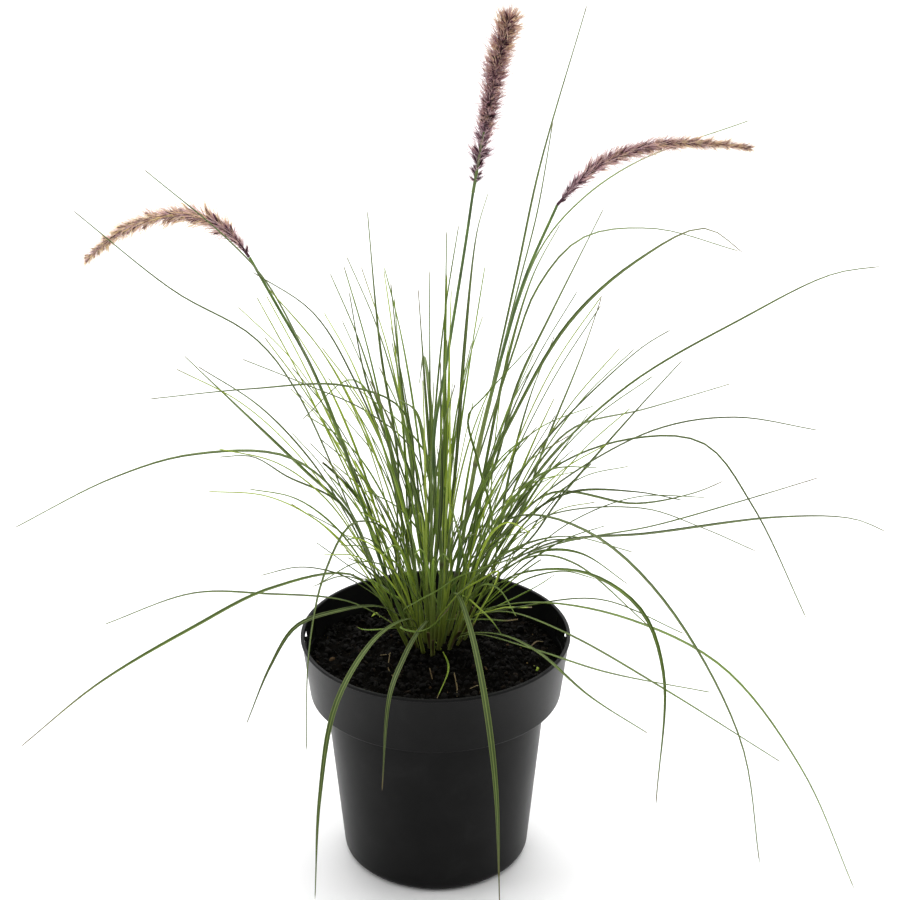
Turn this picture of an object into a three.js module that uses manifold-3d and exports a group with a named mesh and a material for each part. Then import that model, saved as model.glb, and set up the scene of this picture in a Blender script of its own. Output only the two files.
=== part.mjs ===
// Potted swamp foxtail grass: a grower's pot full of soil, a tuft of leafy tillers and three
// flowering stems, each with a bristly head like a bottle brush.
// Millimetres, +Z up. The origin is the middle of the pot's underside and the front faces -Y.

import * as THREE from "three";
import { mergeVertices } from "three/addons/utils/BufferGeometryUtils.js";
import Module from "manifold-3d";

// Pot
const POT_HEIGHT = 174;
const RIM_RADIUS = 95;
const COLLAR_BOTTOM = 129.4;
const COLLAR_BOTTOM_RADIUS = 89.1;
const BODY_TOP_RADIUS = 78.5;
const BODY_BASE_RADIUS = 66.8;
const BASE_ROUNDING = 7.5;
const POT_WALL = 1.8;
const POT_SEGMENTS = 40;
const LIP_HEIGHT = 2.4;
const LIP_PROUD = 0.8;
const DRAIN_HOLES = 8;
const DRAIN_RADIUS = 4.5;
const DRAIN_CIRCLE = 45;
const CLIP_SLOT = { width: 30, height: 7, belowRim: 8 };

// Soil
const SOIL_EDGE_HEIGHT = 150;
const SOIL_MOUND = 8;
const SOIL_MOUND_SPREAD = 48;
const SOIL_CRUMB = 1.1;
const SOIL_SEGMENTS = 24;

// Tuft: tillers stand on a spiral in an oval crown and lean outwards like a fan
const CROWN = new THREE.Vector3(-2, 20, SOIL_EDGE_HEIGHT + SOIL_MOUND);
const CROWN_WIDTH = 47;
const CROWN_DEPTH = 46;
const TUFT_AXIS = new THREE.Vector2(4, 20);
const SEATS = 37;
const CULM_SEATS = { centre: 0, right: 5, left: 17 };
const FAN = 0.021;
const ROOT_DEPTH = 12;
const SOIL_HOLE_TOP = 6;
const SOIL_HOLE_ROOM = 0.9;
const SHEATH_WIDTH = 3.4;
const SHEATH_DEPTH = 2.4;
const SHEATH_HEIGHTS = [36, 66];
const LEAVES_PER_TILLER = 4;
const LEAF_DEPTH = 1.1;
const LEAST_LEAF_STEPS = 3;
const BEND_PER_STEP = THREE.MathUtils.degToRad(21);
const LEAF_ROOT = 9;
const ROOT_CLEAR = 3;

// Flower heads
const HEAD_SPIKELETS = 40;
const SPIKELET_LENGTH = 11;
const SPIKELET_WIDTH = 3;
const BRISTLE_LENGTH = 15;
const BRISTLE_WIDTH = 0.8;
const HEAD_CORE = 3.8;
const HEAD_ROOM = 11;

// Room kept between pieces that don't touch, and the golden angle of leaves round a stem
const GAP = 0.3;
const GOLDEN_ANGLE = THREE.MathUtils.degToRad(137.508);

// Long leaves, clockwise from the left as seen from above. Each has its bearing in degrees from
// +X towards the back, and the points that it bends through: how far from the tuft's upright
// axis, and how high above the floor.
const LONG_LEAVES = [
  { bearing: 170, width: 3.6, bends: [[100, 340], [130, 380], [185, 410], [255, 465]] },
  { bearing: 160, width: 4.8, bends: [[70, 245], [105, 275], [165, 325], [195, 350]] },
  { bearing: 195, width: 3.8, bends: [[25, 335], [65, 360], [130, 365], [200, 365]] },
  { bearing: 186, width: 4.4, bends: [[65, 265], [105, 305], [170, 310], [225, 295], [295, 260]] },
  { bearing: 176, width: 2.6, bends: [[69, 260], [108, 282], [131, 296], [156, 295]] },
  { bearing: 200, width: 4.4, bends: [[65, 220], [125, 220], [180, 200], [248, 169], [305, 130]] },
  { bearing: 190, width: 2.6, bends: [[65, 193], [125, 205], [175, 210], [238, 191]] },
  { bearing: 216, width: 3.6, bends: [[52, 200], [90, 209], [124, 208], [145, 185], [166, 147]] },
  { bearing: 222, width: 3.2, bends: [[50, 260], [80, 275], [105, 245], [120, 192], [125, 115]] },
  { bearing: 243, width: 4.2, bends: [[45, 195], [100, 205], [152, 182], [175, 125], [185, 50]] },
  { bearing: 256, width: 3.8, bends: [[35, 190], [62, 194], [95, 192], [127, 181], [146, 120]] },
  { bearing: 283, width: 4.8, bends: [[40, 215], [80, 215], [125, 187], [160, 135], [175, 45]] },
  { bearing: 315, width: 4.4, bends: [[65, 275], [135, 290], [200, 265], [267, 192], [290, 105]] },
  { bearing: 311, width: 2.8, bends: [[60, 186], [100, 189], [150, 177], [206, 173]] },
  { bearing: 318, width: 3.0, bends: [[30, 172], [88, 181], [148, 187], [235, 205]] },
  { bearing: 320, width: 3.6, bends: [[70, 233], [130, 252], [172, 239], [191, 200], [190, 96]] },
  { bearing: 328, width: 4.4, bends: [[75, 208], [150, 216], [220, 200], [280, 142], [324, 62]] },
  { bearing: 333, width: 3.0, bends: [[53, 192], [98, 186], [172, 161], [258, 127]] },
  { bearing: 345, width: 2.8, bends: [[60, 192], [115, 205], [175, 186]] },
  { bearing: 325, width: 2.8, bends: [[75, 245], [110, 250], [170, 220]] },
  { bearing: 348, width: 3.8, bends: [[76, 297], [135, 327], [180, 327], [215, 284], [257, 201]] },
  { bearing: 348, width: 3.0, bends: [[70, 260], [140, 275], [180, 265], [220, 250]] },
  { bearing: 357, width: 4.2, bends: [[75, 235], [145, 245], [235, 260], [285, 260], [310, 250]] },
  { bearing: 355, width: 3.0, bends: [[75, 275], [135, 270], [175, 280], [195, 290]] },
  { bearing: 0, width: 4.0, bends: [[75, 275], [145, 320], [200, 330], [260, 320]] },
  { bearing: 345, width: 3.6, bends: [[60, 240], [85, 280], [135, 350], [165, 390]] },
  { bearing: 350, width: 3.6, bends: [[60, 300], [85, 335], [135, 390], [155, 405]] },
  { bearing: 5, width: 4.4, bends: [[75, 295], [130, 350], [205, 395], [265, 425], [300, 430]] },
  { bearing: 10, width: 5.0, bends: [[50, 325], [90, 395], [135, 435], [180, 455], [210, 435]] },
  { bearing: 8, width: 3.8, bends: [[80, 229], [150, 241], [210, 257], [268, 274]] },
  { bearing: 15, width: 3.6, bends: [[60, 270], [95, 309], [150, 318], [216, 330]] },
  { bearing: 25, width: 2.8, bends: [[54, 366], [73, 413], [105, 443], [160, 443], [235, 415]] },
  { bearing: 30, width: 3.6, bends: [[60, 235], [85, 290], [115, 355], [130, 395]] },
  { bearing: 40, width: 4.0, bends: [[45, 270], [70, 335], [100, 380], [150, 450]] },
  { bearing: 60, width: 3.2, bends: [[50, 240], [90, 330], [130, 390], [175, 420]] },
  { bearing: 78, width: 3.6, bends: [[45, 260], [80, 350], [120, 420], [165, 440]] },
  { bearing: 95, width: 3.6, bends: [[50, 240], [95, 300], [150, 315], [205, 270]] },
  { bearing: 100, width: 3.0, bends: [[40, 250], [70, 330], [95, 390]] },
  { bearing: 118, width: 3.6, bends: [[45, 280], [60, 330], [75, 405]] },
  { bearing: 148, width: 2.6, bends: [[34, 262], [52, 324], [72, 342], [119, 300]] },
  { bearing: 140, width: 3.4, bends: [[40, 285], [55, 365], [65, 465]] },
  { bearing: 150, width: 3.4, bends: [[30, 320], [50, 385], [75, 435]] },
  { bearing: 163, width: 3.2, bends: [[35, 290], [55, 355], [65, 415]] },
  { bearing: 85, width: 3.6, bends: [[20, 280], [30, 350], [45, 450]] },
  { bearing: 270, width: 3.4, bends: [[15, 270], [20, 330], [35, 385]] },
  { bearing: 324, width: 3.0, bends: [[43, 256], [32, 303], [23, 336], [36, 354], [76, 403]] },
  { bearing: 235, width: 3.2, bends: [[20, 250], [50, 330], [80, 385]] },
  { bearing: 175, width: 3.2, bends: [[33, 279], [60, 357], [87, 404], [128, 432]] },
  { bearing: 182, width: 3.2, bends: [[17, 301], [50, 334], [95, 356], [136, 374]] },
  { bearing: 355, width: 2.8, bends: [[55, 254], [90, 280], [135, 284], [168, 280]] },
  { bearing: 170, width: 3.0, bends: [[40, 195], [56, 204], [90, 228]] },
  { bearing: 160, width: 2.6, bends: [[38, 185], [50, 197], [73, 216]] },
];

// Flowering stems: the points that each stem bends through above its sheath, the points of its
// head, how full the head still is at its tip, and its leaves, which start at a share of the
// stem's length
const CULM_WIDTH = 2.8;
const CULM_SHEATH = 60;
const CULM_TAPER = 0.3;
const CULMS = {
  left: {
    stem: [[-63, 38, 297], [-86, 44, 359], [-108, 50, 400], [-126, 55, 433]],
    head: [[-126, 55, 433], [-140, 59, 450], [-161, 64, 459], [-189, 72, 456], [-217, 79, 443],
      [-245, 87, 418]],
    headTip: 0.5,
    leaves: [
      { start: 0.66, bearing: 172, width: 3.6, bends: [[118, 421], [145, 452], [200, 498]] },
    ],
  },
  centre: {
    stem: [[-1, 10, 314], [8, 4, 378], [20, -4, 461], [25, -8, 499]],
    head: [[25, -8, 499], [32, -20, 545], [41, -38, 598], [47, -50, 627]],
    headTip: 0.9,
    leaves: [
      { start: 0.3, bearing: 250, width: 3.4, bends: [[25, 300], [45, 350], [80, 375]] },
    ],
  },
  right: {
    stem: [[31, 16, 315], [49, 14, 393], [60, 12, 434], [80, 9, 485]],
    head: [[80, 9, 485], [98, 7, 506], [123, 3, 522], [152, -1, 529], [179, -5, 530],
      [203, -8, 528]],
    headTip: 0.3,
    leaves: [
      { start: 0.5, bearing: 35, width: 3.4, bends: [[63, 419], [82, 495], [119, 600]] },
      { start: 0.58, bearing: 22, width: 3.0, bends: [[58, 423], [70, 470], [80, 530]] },
      { start: 0.66, bearing: 8, width: 3.0,
        bends: [[66, 446], [92, 479], [130, 505], [207, 531]] },
    ],
  },
};

const wasm = await Module();
wasm.setup();

// A closed geometry as a solid that can be joined and cut
function toSolid(geometry) {
  const shape = geometry.clone();
  shape.deleteAttribute("normal");
  shape.deleteAttribute("uv");
  const merged = mergeVertices(shape, 1e-4);
  return new wasm.Manifold(
    new wasm.Mesh({
      numProp: 3,
      vertProperties: merged.attributes.position.array,
      triVerts: new Uint32Array(merged.index.array),
    }),
  );
}

// A solid as geometry again, with flat faces
function toGeometry(body) {
  const mesh = body.getMesh();
  const geometry = new THREE.BufferGeometry();
  geometry.setAttribute("position", new THREE.BufferAttribute(mesh.vertProperties, 3));
  geometry.setIndex(new THREE.BufferAttribute(mesh.triVerts, 1));
  const faceted = geometry.toNonIndexed();
  faceted.computeVertexNormals();
  return faceted;
}

const BACKWARDS = new THREE.Vector3(0, 1, 0);
const round = (radius) => [radius, radius];
const join = (bodies) => bodies.reduce((whole, body) => whole.add(body));

const grass = new THREE.Group();

function place(name, body, color, roughness) {
  const material = new THREE.MeshStandardMaterial({ color, roughness, metalness: 0 });
  const mesh = new THREE.Mesh(toGeometry(body), material);
  mesh.name = name;
  grass.add(mesh);
}

// Random draws, the same on every run
let drawState = 19;
function draw(low, high) {
  drawState = (drawState * 16807) % 2147483647;
  return low + ((high - low) * drawState) / 2147483647;
}

// A solid strand along a line of points. Its rings stand square to the line, and size gives
// their half width and half depth from 0 at the root to 1 at the end, where a pointed strand
// closes in a tip. across is the way that its width runs, turned by twist along the strand.
function strand(points, { sides, across, size, twist = 0, pointed = false }) {
  const steps = points.length - 1;
  const shape = pointed
    ? new THREE.ConeGeometry(1, 1, sides, steps)
    : new THREE.CylinderGeometry(1, 1, 1, sides, steps);
  const position = shape.attributes.position;
  for (let i = 0; i < position.count; i += 1) {
    const t = position.getY(i) + 0.5;
    const ring = Math.round(t * steps);
    const ahead = points[Math.min(ring + 1, steps)];
    const behind = points[Math.max(ring - 1, 0)];
    const along = ahead.clone().sub(behind).normalize();
    const side = across.clone().addScaledVector(along, -across.dot(along)).normalize();
    side.applyAxisAngle(along, twist * t);
    const down = side.clone().cross(along);
    const [halfWidth, halfDepth] = size(t);
    const onRim = Math.hypot(position.getX(i), position.getZ(i)) > 1e-6;
    const angle = Math.atan2(position.getX(i), position.getZ(i));
    const vertex = points[ring].clone();
    if (onRim) {
      vertex.addScaledVector(side, Math.sin(angle) * halfWidth);
      vertex.addScaledVector(down, Math.cos(angle) * halfDepth);
    }
    position.setXYZ(i, vertex.x, vertex.y, vertex.z);
  }
  return toSolid(shape);
}

// The way a bearing points, level and in degrees, and the level way square to it
function level(bearing) {
  const angle = THREE.MathUtils.degToRad(bearing);
  return new THREE.Vector3(Math.cos(angle), Math.sin(angle), 0);
}

// A point given by its reach from the tuft's axis and its height above the floor
function fromAxis(bearing, [reach, height]) {
  const axisPoint = new THREE.Vector3(TUFT_AXIS.x, TUFT_AXIS.y, height);
  return level(bearing).multiplyScalar(reach).add(axisPoint);
}

function soilHeight(x, y) {
  const away = (x - CROWN.x) ** 2 + (y - CROWN.y) ** 2;
  const mound = SOIL_MOUND * Math.exp(-away / (2 * SOIL_MOUND_SPREAD ** 2));
  const crumb = Math.sin(x / 5.1) * Math.cos(y / 4.3) + 0.6 * Math.sin((x + 2 * y) / 7.7);
  return SOIL_EDGE_HEIGHT + mound + SOIL_CRUMB * crumb;
}

// A full turn of a closed profile of [radius, height] points
function turned(profile, segments) {
  const points = profile.map(([radius, height]) => new THREE.Vector2(radius, height));
  return new THREE.LatheGeometry(points, segments).rotateX(Math.PI / 2);
}

function makePot() {
  const rounding = [0, 0.35, 0.7, 1].map((share) => {
    const angle = (share * Math.PI) / 2;
    return [
      BODY_BASE_RADIUS - BASE_ROUNDING * (1 - Math.sin(angle)),
      BASE_ROUNDING * (1 - Math.cos(angle)),
    ];
  });
  const lipBottom = POT_HEIGHT - LIP_HEIGHT;
  const profile = [
    [0, 0],
    ...rounding,
    [BODY_TOP_RADIUS, COLLAR_BOTTOM],
    [COLLAR_BOTTOM_RADIUS, COLLAR_BOTTOM],
    [RIM_RADIUS - LIP_PROUD, lipBottom],
    [RIM_RADIUS, lipBottom + 0.5],
    [RIM_RADIUS, POT_HEIGHT],
    [RIM_RADIUS - LIP_PROUD - POT_WALL, POT_HEIGHT],
    [COLLAR_BOTTOM_RADIUS - POT_WALL, COLLAR_BOTTOM + POT_WALL],
    [BODY_TOP_RADIUS - POT_WALL, COLLAR_BOTTOM + POT_WALL],
    [BODY_BASE_RADIUS - POT_WALL, BASE_ROUNDING + POT_WALL],
    [BODY_BASE_RADIUS - BASE_ROUNDING, POT_WALL],
    [0, POT_WALL],
  ];
  let pot = toSolid(turned(profile, POT_SEGMENTS));
  for (let hole = 0; hole < DRAIN_HOLES; hole += 1) {
    const cutter = new THREE.CylinderGeometry(DRAIN_RADIUS, DRAIN_RADIUS, 4 * POT_WALL, 8);
    const middle = level((hole * 360) / DRAIN_HOLES).multiplyScalar(DRAIN_CIRCLE);
    cutter.rotateX(Math.PI / 2).translate(middle.x, middle.y, POT_WALL / 2);
    pot = pot.subtract(toSolid(cutter));
  }
  for (const facing of [-1, 1]) {
    const cutter = new THREE.BoxGeometry(8, CLIP_SLOT.width, CLIP_SLOT.height);
    cutter.translate(facing * (RIM_RADIUS - 2), 0, POT_HEIGHT - CLIP_SLOT.belowRim);
    pot = pot.subtract(toSolid(cutter));
  }
  return pot;
}

// Seats of the tillers and stems: each foot's place from the middle of the crown, and the way
// it leans for each millimetre of height
const seats = Array.from({ length: SEATS }, (_, index) => {
  const ring = Math.sqrt((index + 0.5) / SEATS);
  const angle = index * GOLDEN_ANGLE;
  const foot = new THREE.Vector3(
    (CROWN_WIDTH / 2) * ring * Math.cos(angle),
    (CROWN_DEPTH / 2) * ring * Math.sin(angle),
    0,
  );
  return { foot, ring, sheath: 0, leaves: [], long: 0 };
});

// A point on a seat's sheath line, at a height above the soil there
function onSheath(seat, height) {
  const spread = 1 + FAN * height;
  return new THREE.Vector3(
    CROWN.x + seat.foot.x * spread,
    CROWN.y + seat.foot.y * spread,
    CROWN.z + height,
  );
}

function makeSoil() {
  const wallGap = POT_WALL + GAP;
  const collarRise = (SOIL_EDGE_HEIGHT - COLLAR_BOTTOM) / (POT_HEIGHT - COLLAR_BOTTOM);
  const collarFlare = RIM_RADIUS - LIP_PROUD - COLLAR_BOTTOM_RADIUS;
  const topRadius = COLLAR_BOTTOM_RADIUS + collarFlare * collarRise - wallGap - 0.2;
  const profile = [
    [0, wallGap],
    [BODY_BASE_RADIUS - BASE_ROUNDING, wallGap],
    [BODY_BASE_RADIUS - wallGap, BASE_ROUNDING + wallGap],
    [BODY_TOP_RADIUS - wallGap - 0.1, COLLAR_BOTTOM + wallGap],
    [COLLAR_BOTTOM_RADIUS - wallGap - 0.2, COLLAR_BOTTOM + wallGap],
    ...[1, 0.84, 0.64, 0.4, 0].map((share) => [topRadius * share, SOIL_EDGE_HEIGHT]),
  ];
  const shape = turned(profile, SOIL_SEGMENTS);
  const position = shape.attributes.position;
  for (let i = 0; i < position.count; i += 1) {
    if (position.getZ(i) < SOIL_EDGE_HEIGHT - 1) continue;
    position.setZ(i, soilHeight(position.getX(i), position.getY(i)));
  }
  let soil = toSolid(shape);
  for (const seat of seats) {
    const line = [onSheath(seat, -ROOT_DEPTH - GAP), onSheath(seat, SOIL_HOLE_TOP)];
    const size = () => round(SHEATH_WIDTH / 2 + SOIL_HOLE_ROOM);
    soil = soil.subtract(strand(line, { sides: 5, across: BACKWARDS, size }));
  }
  return soil;
}

// Half the width of a leaf as a share of its full width: narrow where it leaves the sheath,
// full from a quarter of its length, and tapering over its outer two thirds
const ROOT_SHARE = 0.62;
const FULL_FROM = 0.25;
const TAPER_FROM = 0.35;
const TAPER_POWER = 1.5;
const TIP_SHARE = 0.08;

function leafHalf(t) {
  const root = ROOT_SHARE + (1 - ROOT_SHARE) * Math.min(1, t / FULL_FROM);
  const taper = 1 - Math.max(0, (t - TAPER_FROM) / (1 - TAPER_FROM)) ** TAPER_POWER;
  return 0.5 * root * Math.max(taper, TIP_SHARE);
}

// What has grown so far: lines of samples that a new leaf of another seat stays clear of
const SAMPLE_STEP = 4;
const SAMPLES_IN_SHEATH = 6;
const LEAST_ROOM = 3;
const SIDE_ROOM = 0.75;
const WIDEST_LEAF = 5;
const grown = [];

function sampled(waypoints, halfAt) {
  const curve = new THREE.CatmullRomCurve3(waypoints);
  const steps = Math.ceil(curve.getLength() / SAMPLE_STEP);
  const points = curve.getSpacedPoints(steps);
  return {
    points,
    halves: points.map((_, i) => halfAt(i / steps)),
    box: new THREE.Box3().setFromPoints(points).expandByScalar(WIDEST_LEAF),
  };
}

function crosses(one, other) {
  if (!one.box.intersectsBox(other.box)) return false;
  return one.points.some((point, i) =>
    other.points.some((otherPoint, j) => {
      const room = Math.max(LEAST_ROOM, one.halves[i] + other.halves[j] + SIDE_ROOM);
      return point.distanceToSquared(otherPoint) < room * room;
    }),
  );
}

// Whether a line keeps above the soil, the rim and the floor once it has left its sheath
const HEADROOM = 3;
const RIM_INSIDE = RIM_RADIUS - 11;
const RIM_OUTSIDE = RIM_RADIUS + 4;
const LOWEST_TIP = 6;

function overPot(line) {
  return line.points.slice(SAMPLES_IN_SHEATH).every(({ x, y, z }) => {
    const radius = Math.hypot(x, y);
    if (radius < RIM_INSIDE) return z > soilHeight(x, y) + HEADROOM;
    if (radius < RIM_OUTSIDE) return z > POT_HEIGHT + HEADROOM;
    return z > LOWEST_TIP;
  });
}

function isClear(owner, line) {
  return overPot(line) && !grown.some((other) => other.owner !== owner && crosses(line, other));
}

// A leaf that would touch another is turned a little further about the tuft's axis, left and
// right in turn, until it is clear
const LEAF_TURNS = [0, 1.5, -1.5, 3, -3, 4.5, -4.5, 6, -6, 8, -8, 10, -10];
const LONG_LEAF_TWIST = 0.9;

function growLeaf(owner, rootPoints, { bearing, width, bends }) {
  for (const turn of LEAF_TURNS) {
    const way = bearing + turn;
    const waypoints = [...rootPoints, ...bends.map((bend) => fromAxis(way, bend))];
    const line = sampled(waypoints, (t) => width * leafHalf(t));
    if (!isClear(owner, line)) continue;
    grown.push({ owner, ...line });
    const twist = draw(-LONG_LEAF_TWIST, LONG_LEAF_TWIST);
    return { waypoints, across: level(way + 90), width, twist };
  }
  return null;
}

// A leaf has a ring for every few degrees that it bends
const BEND_SAMPLES = 12;

function leafSteps(curve) {
  const ways = Array.from({ length: BEND_SAMPLES + 1 }, (_, i) =>
    curve.getTangentAt(i / BEND_SAMPLES),
  );
  const bent = ways.slice(1).reduce((sum, way, i) => sum + way.angleTo(ways[i]), 0);
  return Math.round(LEAST_LEAF_STEPS + bent / BEND_PER_STEP);
}

function makeLeaf({ waypoints, across, width, twist }) {
  const curve = new THREE.CatmullRomCurve3(waypoints);
  const steps = leafSteps(curve);
  const size = (t) => [
    (2 / Math.sqrt(3)) * width * leafHalf(t),
    (LEAF_DEPTH * Math.max(0.6, 1 - 0.5 * t)) / 1.5,
  ];
  return strand(curve.getSpacedPoints(steps), { sides: 3, across, size, twist, pointed: true });
}

// Sheaths come first, because every leaf has to clear those of the other seats
const isCulm = (index) => Object.values(CULM_SEATS).includes(index);
seats.forEach((seat, index) => {
  seat.sheath = isCulm(index) ? CULM_SHEATH : draw(...SHEATH_HEIGHTS);
  const line = [onSheath(seat, -ROOT_DEPTH), onSheath(seat, seat.sheath)];
  grown.push({ owner: index, ...sampled(line, () => SHEATH_WIDTH / 2) });
});

// The flowering stems, their heads and their leaves
const culms = Object.entries(CULM_SEATS).map(([side, index]) => {
  const seat = seats[index];
  const { stem, head, headTip, leaves } = CULMS[side];
  const stemPoints = [
    onSheath(seat, -ROOT_DEPTH),
    onSheath(seat, seat.sheath / 2),
    onSheath(seat, seat.sheath),
    ...stem.map((point) => new THREE.Vector3(...point)),
  ];
  const headPoints = head.map((point) => new THREE.Vector3(...point));
  grown.push({ owner: index, ...sampled(stemPoints, () => CULM_WIDTH / 2) });
  grown.push({ owner: index, ...sampled(headPoints, () => HEAD_ROOM) });
  return { side, index, stemPoints, headPoints, headTip, leaves };
});
const LEAF_ROOT_SHARE = 0.05;
for (const culm of culms) {
  const curve = new THREE.CatmullRomCurve3(culm.stemPoints);
  culm.grownLeaves = culm.leaves.map((leaf) => {
    const roots = [curve.getPointAt(leaf.start - LEAF_ROOT_SHARE), curve.getPointAt(leaf.start)];
    return growLeaf(culm.index, roots, leaf);
  });
}

// Each long leaf goes to the tiller that stands where its first bend, drawn back along the
// fan, meets the soil. It leaves the sheath half way up to that bend.
const MOST_LONG_LEAVES = 2;
const LOWEST_EXIT = 10;

for (const leaf of LONG_LEAVES) {
  const [reach, height] = leaf.bends[0];
  const rise = height - CROWN.z;
  const foot = level(leaf.bearing).multiplyScalar(reach / (1 + FAN * rise));
  const free = seats.filter((seat, index) => !isCulm(index) && seat.long < MOST_LONG_LEAVES);
  const seat = free.reduce((best, other) =>
    other.foot.distanceTo(foot) < best.foot.distanceTo(foot) ? other : best,
  );
  const exit = Math.min(seat.sheath, Math.max(LOWEST_EXIT, rise / 2));
  const roots = [onSheath(seat, Math.max(ROOT_CLEAR, exit - LEAF_ROOT)), onSheath(seat, exit)];
  const made = growLeaf(seats.indexOf(seat), roots, leaf);
  if (!made) continue;
  seat.long += 1;
  seat.leaves.push(made);
}

// The rest of each tiller's leaves follow the fan, a little to one side or the other, and bend
// over towards their tips. One that finds no room is drawn again.
const FILL = {
  tries: 14,
  bends: 4,
  exit: [0.7, 1],
  stray: [0.05, 0.14],
  length: [110, 275],
  droop: [0.1, 0.9],
  droopPower: 1.7,
  width: [2.2, 3.2],
  twist: [-1.2, 1.2],
};

function fillLeaf(index) {
  const seat = seats[index];
  const exit = seat.sheath * draw(...FILL.exit);
  const side = ((seat.leaves.length + draw(0, 0.7)) / LEAVES_PER_TILLER) * 2 * Math.PI;
  const stray = draw(...FILL.stray);
  const lean = new THREE.Vector3(
    FAN * seat.foot.x + stray * Math.cos(side),
    FAN * seat.foot.y + stray * Math.sin(side),
    0,
  );
  const length = draw(...FILL.length) * (1.1 - 0.3 * seat.ring);
  const droop = draw(...FILL.droop) * (0.4 + seat.ring);
  const outwards = lean.clone().normalize();
  const waypoints = [onSheath(seat, exit - LEAF_ROOT), onSheath(seat, exit)];
  const tip = waypoints[1].clone();
  const stretch = length / FILL.bends;
  for (let i = 0; i < FILL.bends; i += 1) {
    const bent = droop * ((i + 0.5) / FILL.bends) ** FILL.droopPower;
    const tilt = Math.atan(lean.length()) + bent;
    tip.addScaledVector(outwards, Math.sin(tilt) * stretch);
    tip.z += Math.cos(tilt) * stretch;
    waypoints.push(tip.clone());
  }
  const width = draw(...FILL.width);
  const twist = draw(...FILL.twist);
  const line = sampled(waypoints, (t) => width * leafHalf(t));
  if (!isClear(index, line)) return null;
  grown.push({ owner: index, ...line });
  const across = new THREE.Vector3(-outwards.y, outwards.x, 0);
  return { waypoints, across, width, twist };
}

for (let count = 0; count < LEAVES_PER_TILLER; count += 1) {
  seats.forEach((seat, index) => {
    if (isCulm(index) || seat.leaves.length > count) return;
    for (let attempt = 0; attempt < FILL.tries; attempt += 1) {
      const made = fillLeaf(index);
      if (!made) continue;
      seat.leaves.push(made);
      break;
    }
  });
}

function makeSheath(seat) {
  const line = [onSheath(seat, -ROOT_DEPTH), onSheath(seat, seat.sheath)];
  const across = new THREE.Vector3(-seat.foot.y, seat.foot.x, 0).normalize();
  const size = (t) => [(SHEATH_WIDTH / 2) * (1 - 0.12 * t), (SHEATH_DEPTH / 2) * (1 - 0.25 * t)];
  return strand(line, { sides: 6, across, size });
}

// A flowering stem: its sheathed foot, the round stem and its leaves
function makeCulm({ index, stemPoints, grownLeaves }) {
  const curve = new THREE.CatmullRomCurve3(stemPoints);
  const size = (t) => round((CULM_WIDTH / 2) * (1 - CULM_TAPER * t));
  const stem = strand(curve.getSpacedPoints(10), { sides: 6, across: BACKWARDS, size });
  return join([stem, makeSheath(seats[index]), ...grownLeaves.filter(Boolean).map(makeLeaf)]);
}

// A straight three-sided needle from a point of the head's axis: how far it leans out from the
// axis in radians, its length, its radius, and the share of that radius at its root
function needle(root, along, out, { lean, length, radius, steps = 1, rootShare = 1 }) {
  const way = along.clone().multiplyScalar(Math.cos(lean)).addScaledVector(out, Math.sin(lean));
  const end = root.clone().addScaledVector(way, length);
  const points = Array.from({ length: steps + 1 }, (_, i) => root.clone().lerp(end, i / steps));
  const size = (t) => round(radius * (t === 0 ? rootShare : 1));
  return strand(points, { sides: 3, across: along.clone().cross(out), size, pointed: true });
}

// A head: a slim core, and spikelets in a spiral with a longer bristle beside each. All of it
// swells from a narrow neck and grows slimmer towards the tip.
const CORE_STEPS = 8;
const NECK = { share: 0.45, length: 0.15 };
const CORE_TIP = 0.5;
const SPIKELETS_FROM = 0.03;
const SPIKELETS_TO = 0.98;
const SPIKELET_LEAN = [0.5, 0.8];
const BRISTLE_LEAN = [0.35, 0.85];
const BRISTLE_TURN = 1.1;
const BRISTLE_RISE = 1.6;

function makeHead({ headPoints, headTip }) {
  const curve = new THREE.CatmullRomCurve3(headPoints);
  const start = GAP / curve.getLength();
  const line = Array.from({ length: CORE_STEPS + 1 }, (_, i) =>
    curve.getPointAt(start + ((1 - start) * i) / CORE_STEPS),
  );
  const fullness = (t) =>
    Math.min(1, NECK.share + ((1 - NECK.share) * t) / NECK.length) * (1 - (1 - headTip) * t ** 2);
  const coreSize = (t) => round(HEAD_CORE * fullness(t) * (t === 1 ? CORE_TIP : 1));
  const pieces = [strand(line, { sides: 5, across: BACKWARDS, size: coreSize })];
  for (let i = 0; i < HEAD_SPIKELETS; i += 1) {
    const share = (i + 0.5) / HEAD_SPIKELETS;
    const t = SPIKELETS_FROM + (SPIKELETS_TO - SPIKELETS_FROM) * share;
    const along = curve.getTangentAt(t);
    const out = BACKWARDS.clone().cross(along).normalize();
    const scale = fullness(t);
    const spikelet = {
      lean: draw(...SPIKELET_LEAN),
      length: SPIKELET_LENGTH * scale,
      radius: (SPIKELET_WIDTH / 2) * scale,
      steps: 2,
      rootShare: 0.5,
    };
    const bristle = {
      lean: draw(...BRISTLE_LEAN),
      length: BRISTLE_LENGTH * scale,
      radius: BRISTLE_WIDTH / 2,
    };
    out.applyAxisAngle(along, i * GOLDEN_ANGLE);
    pieces.push(needle(curve.getPointAt(t), along, out, spikelet));
    out.applyAxisAngle(along, BRISTLE_TURN);
    const higher = curve.getPointAt(t).addScaledVector(along, BRISTLE_RISE);
    pieces.push(needle(higher, along, out, bristle));
  }
  return join(pieces);
}

place("pot", makePot(), "#1c1d1e", 0.45);
place("soil", makeSoil(), "#17120f", 1);
let number = 0;
seats.forEach((seat, index) => {
  if (isCulm(index)) return;
  number += 1;
  const name = `tiller_${String(number).padStart(2, "0")}`;
  place(name, join([makeSheath(seat), ...seat.leaves.map(makeLeaf)]), "#6f8f35", 0.6);
});
for (const culm of culms) {
  place(`culm_${culm.side}`, makeCulm(culm), "#5b7a33", 0.55);
  place(`head_${culm.side}`, makeHead(culm), "#6b4a4d", 0.9);
}

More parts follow.
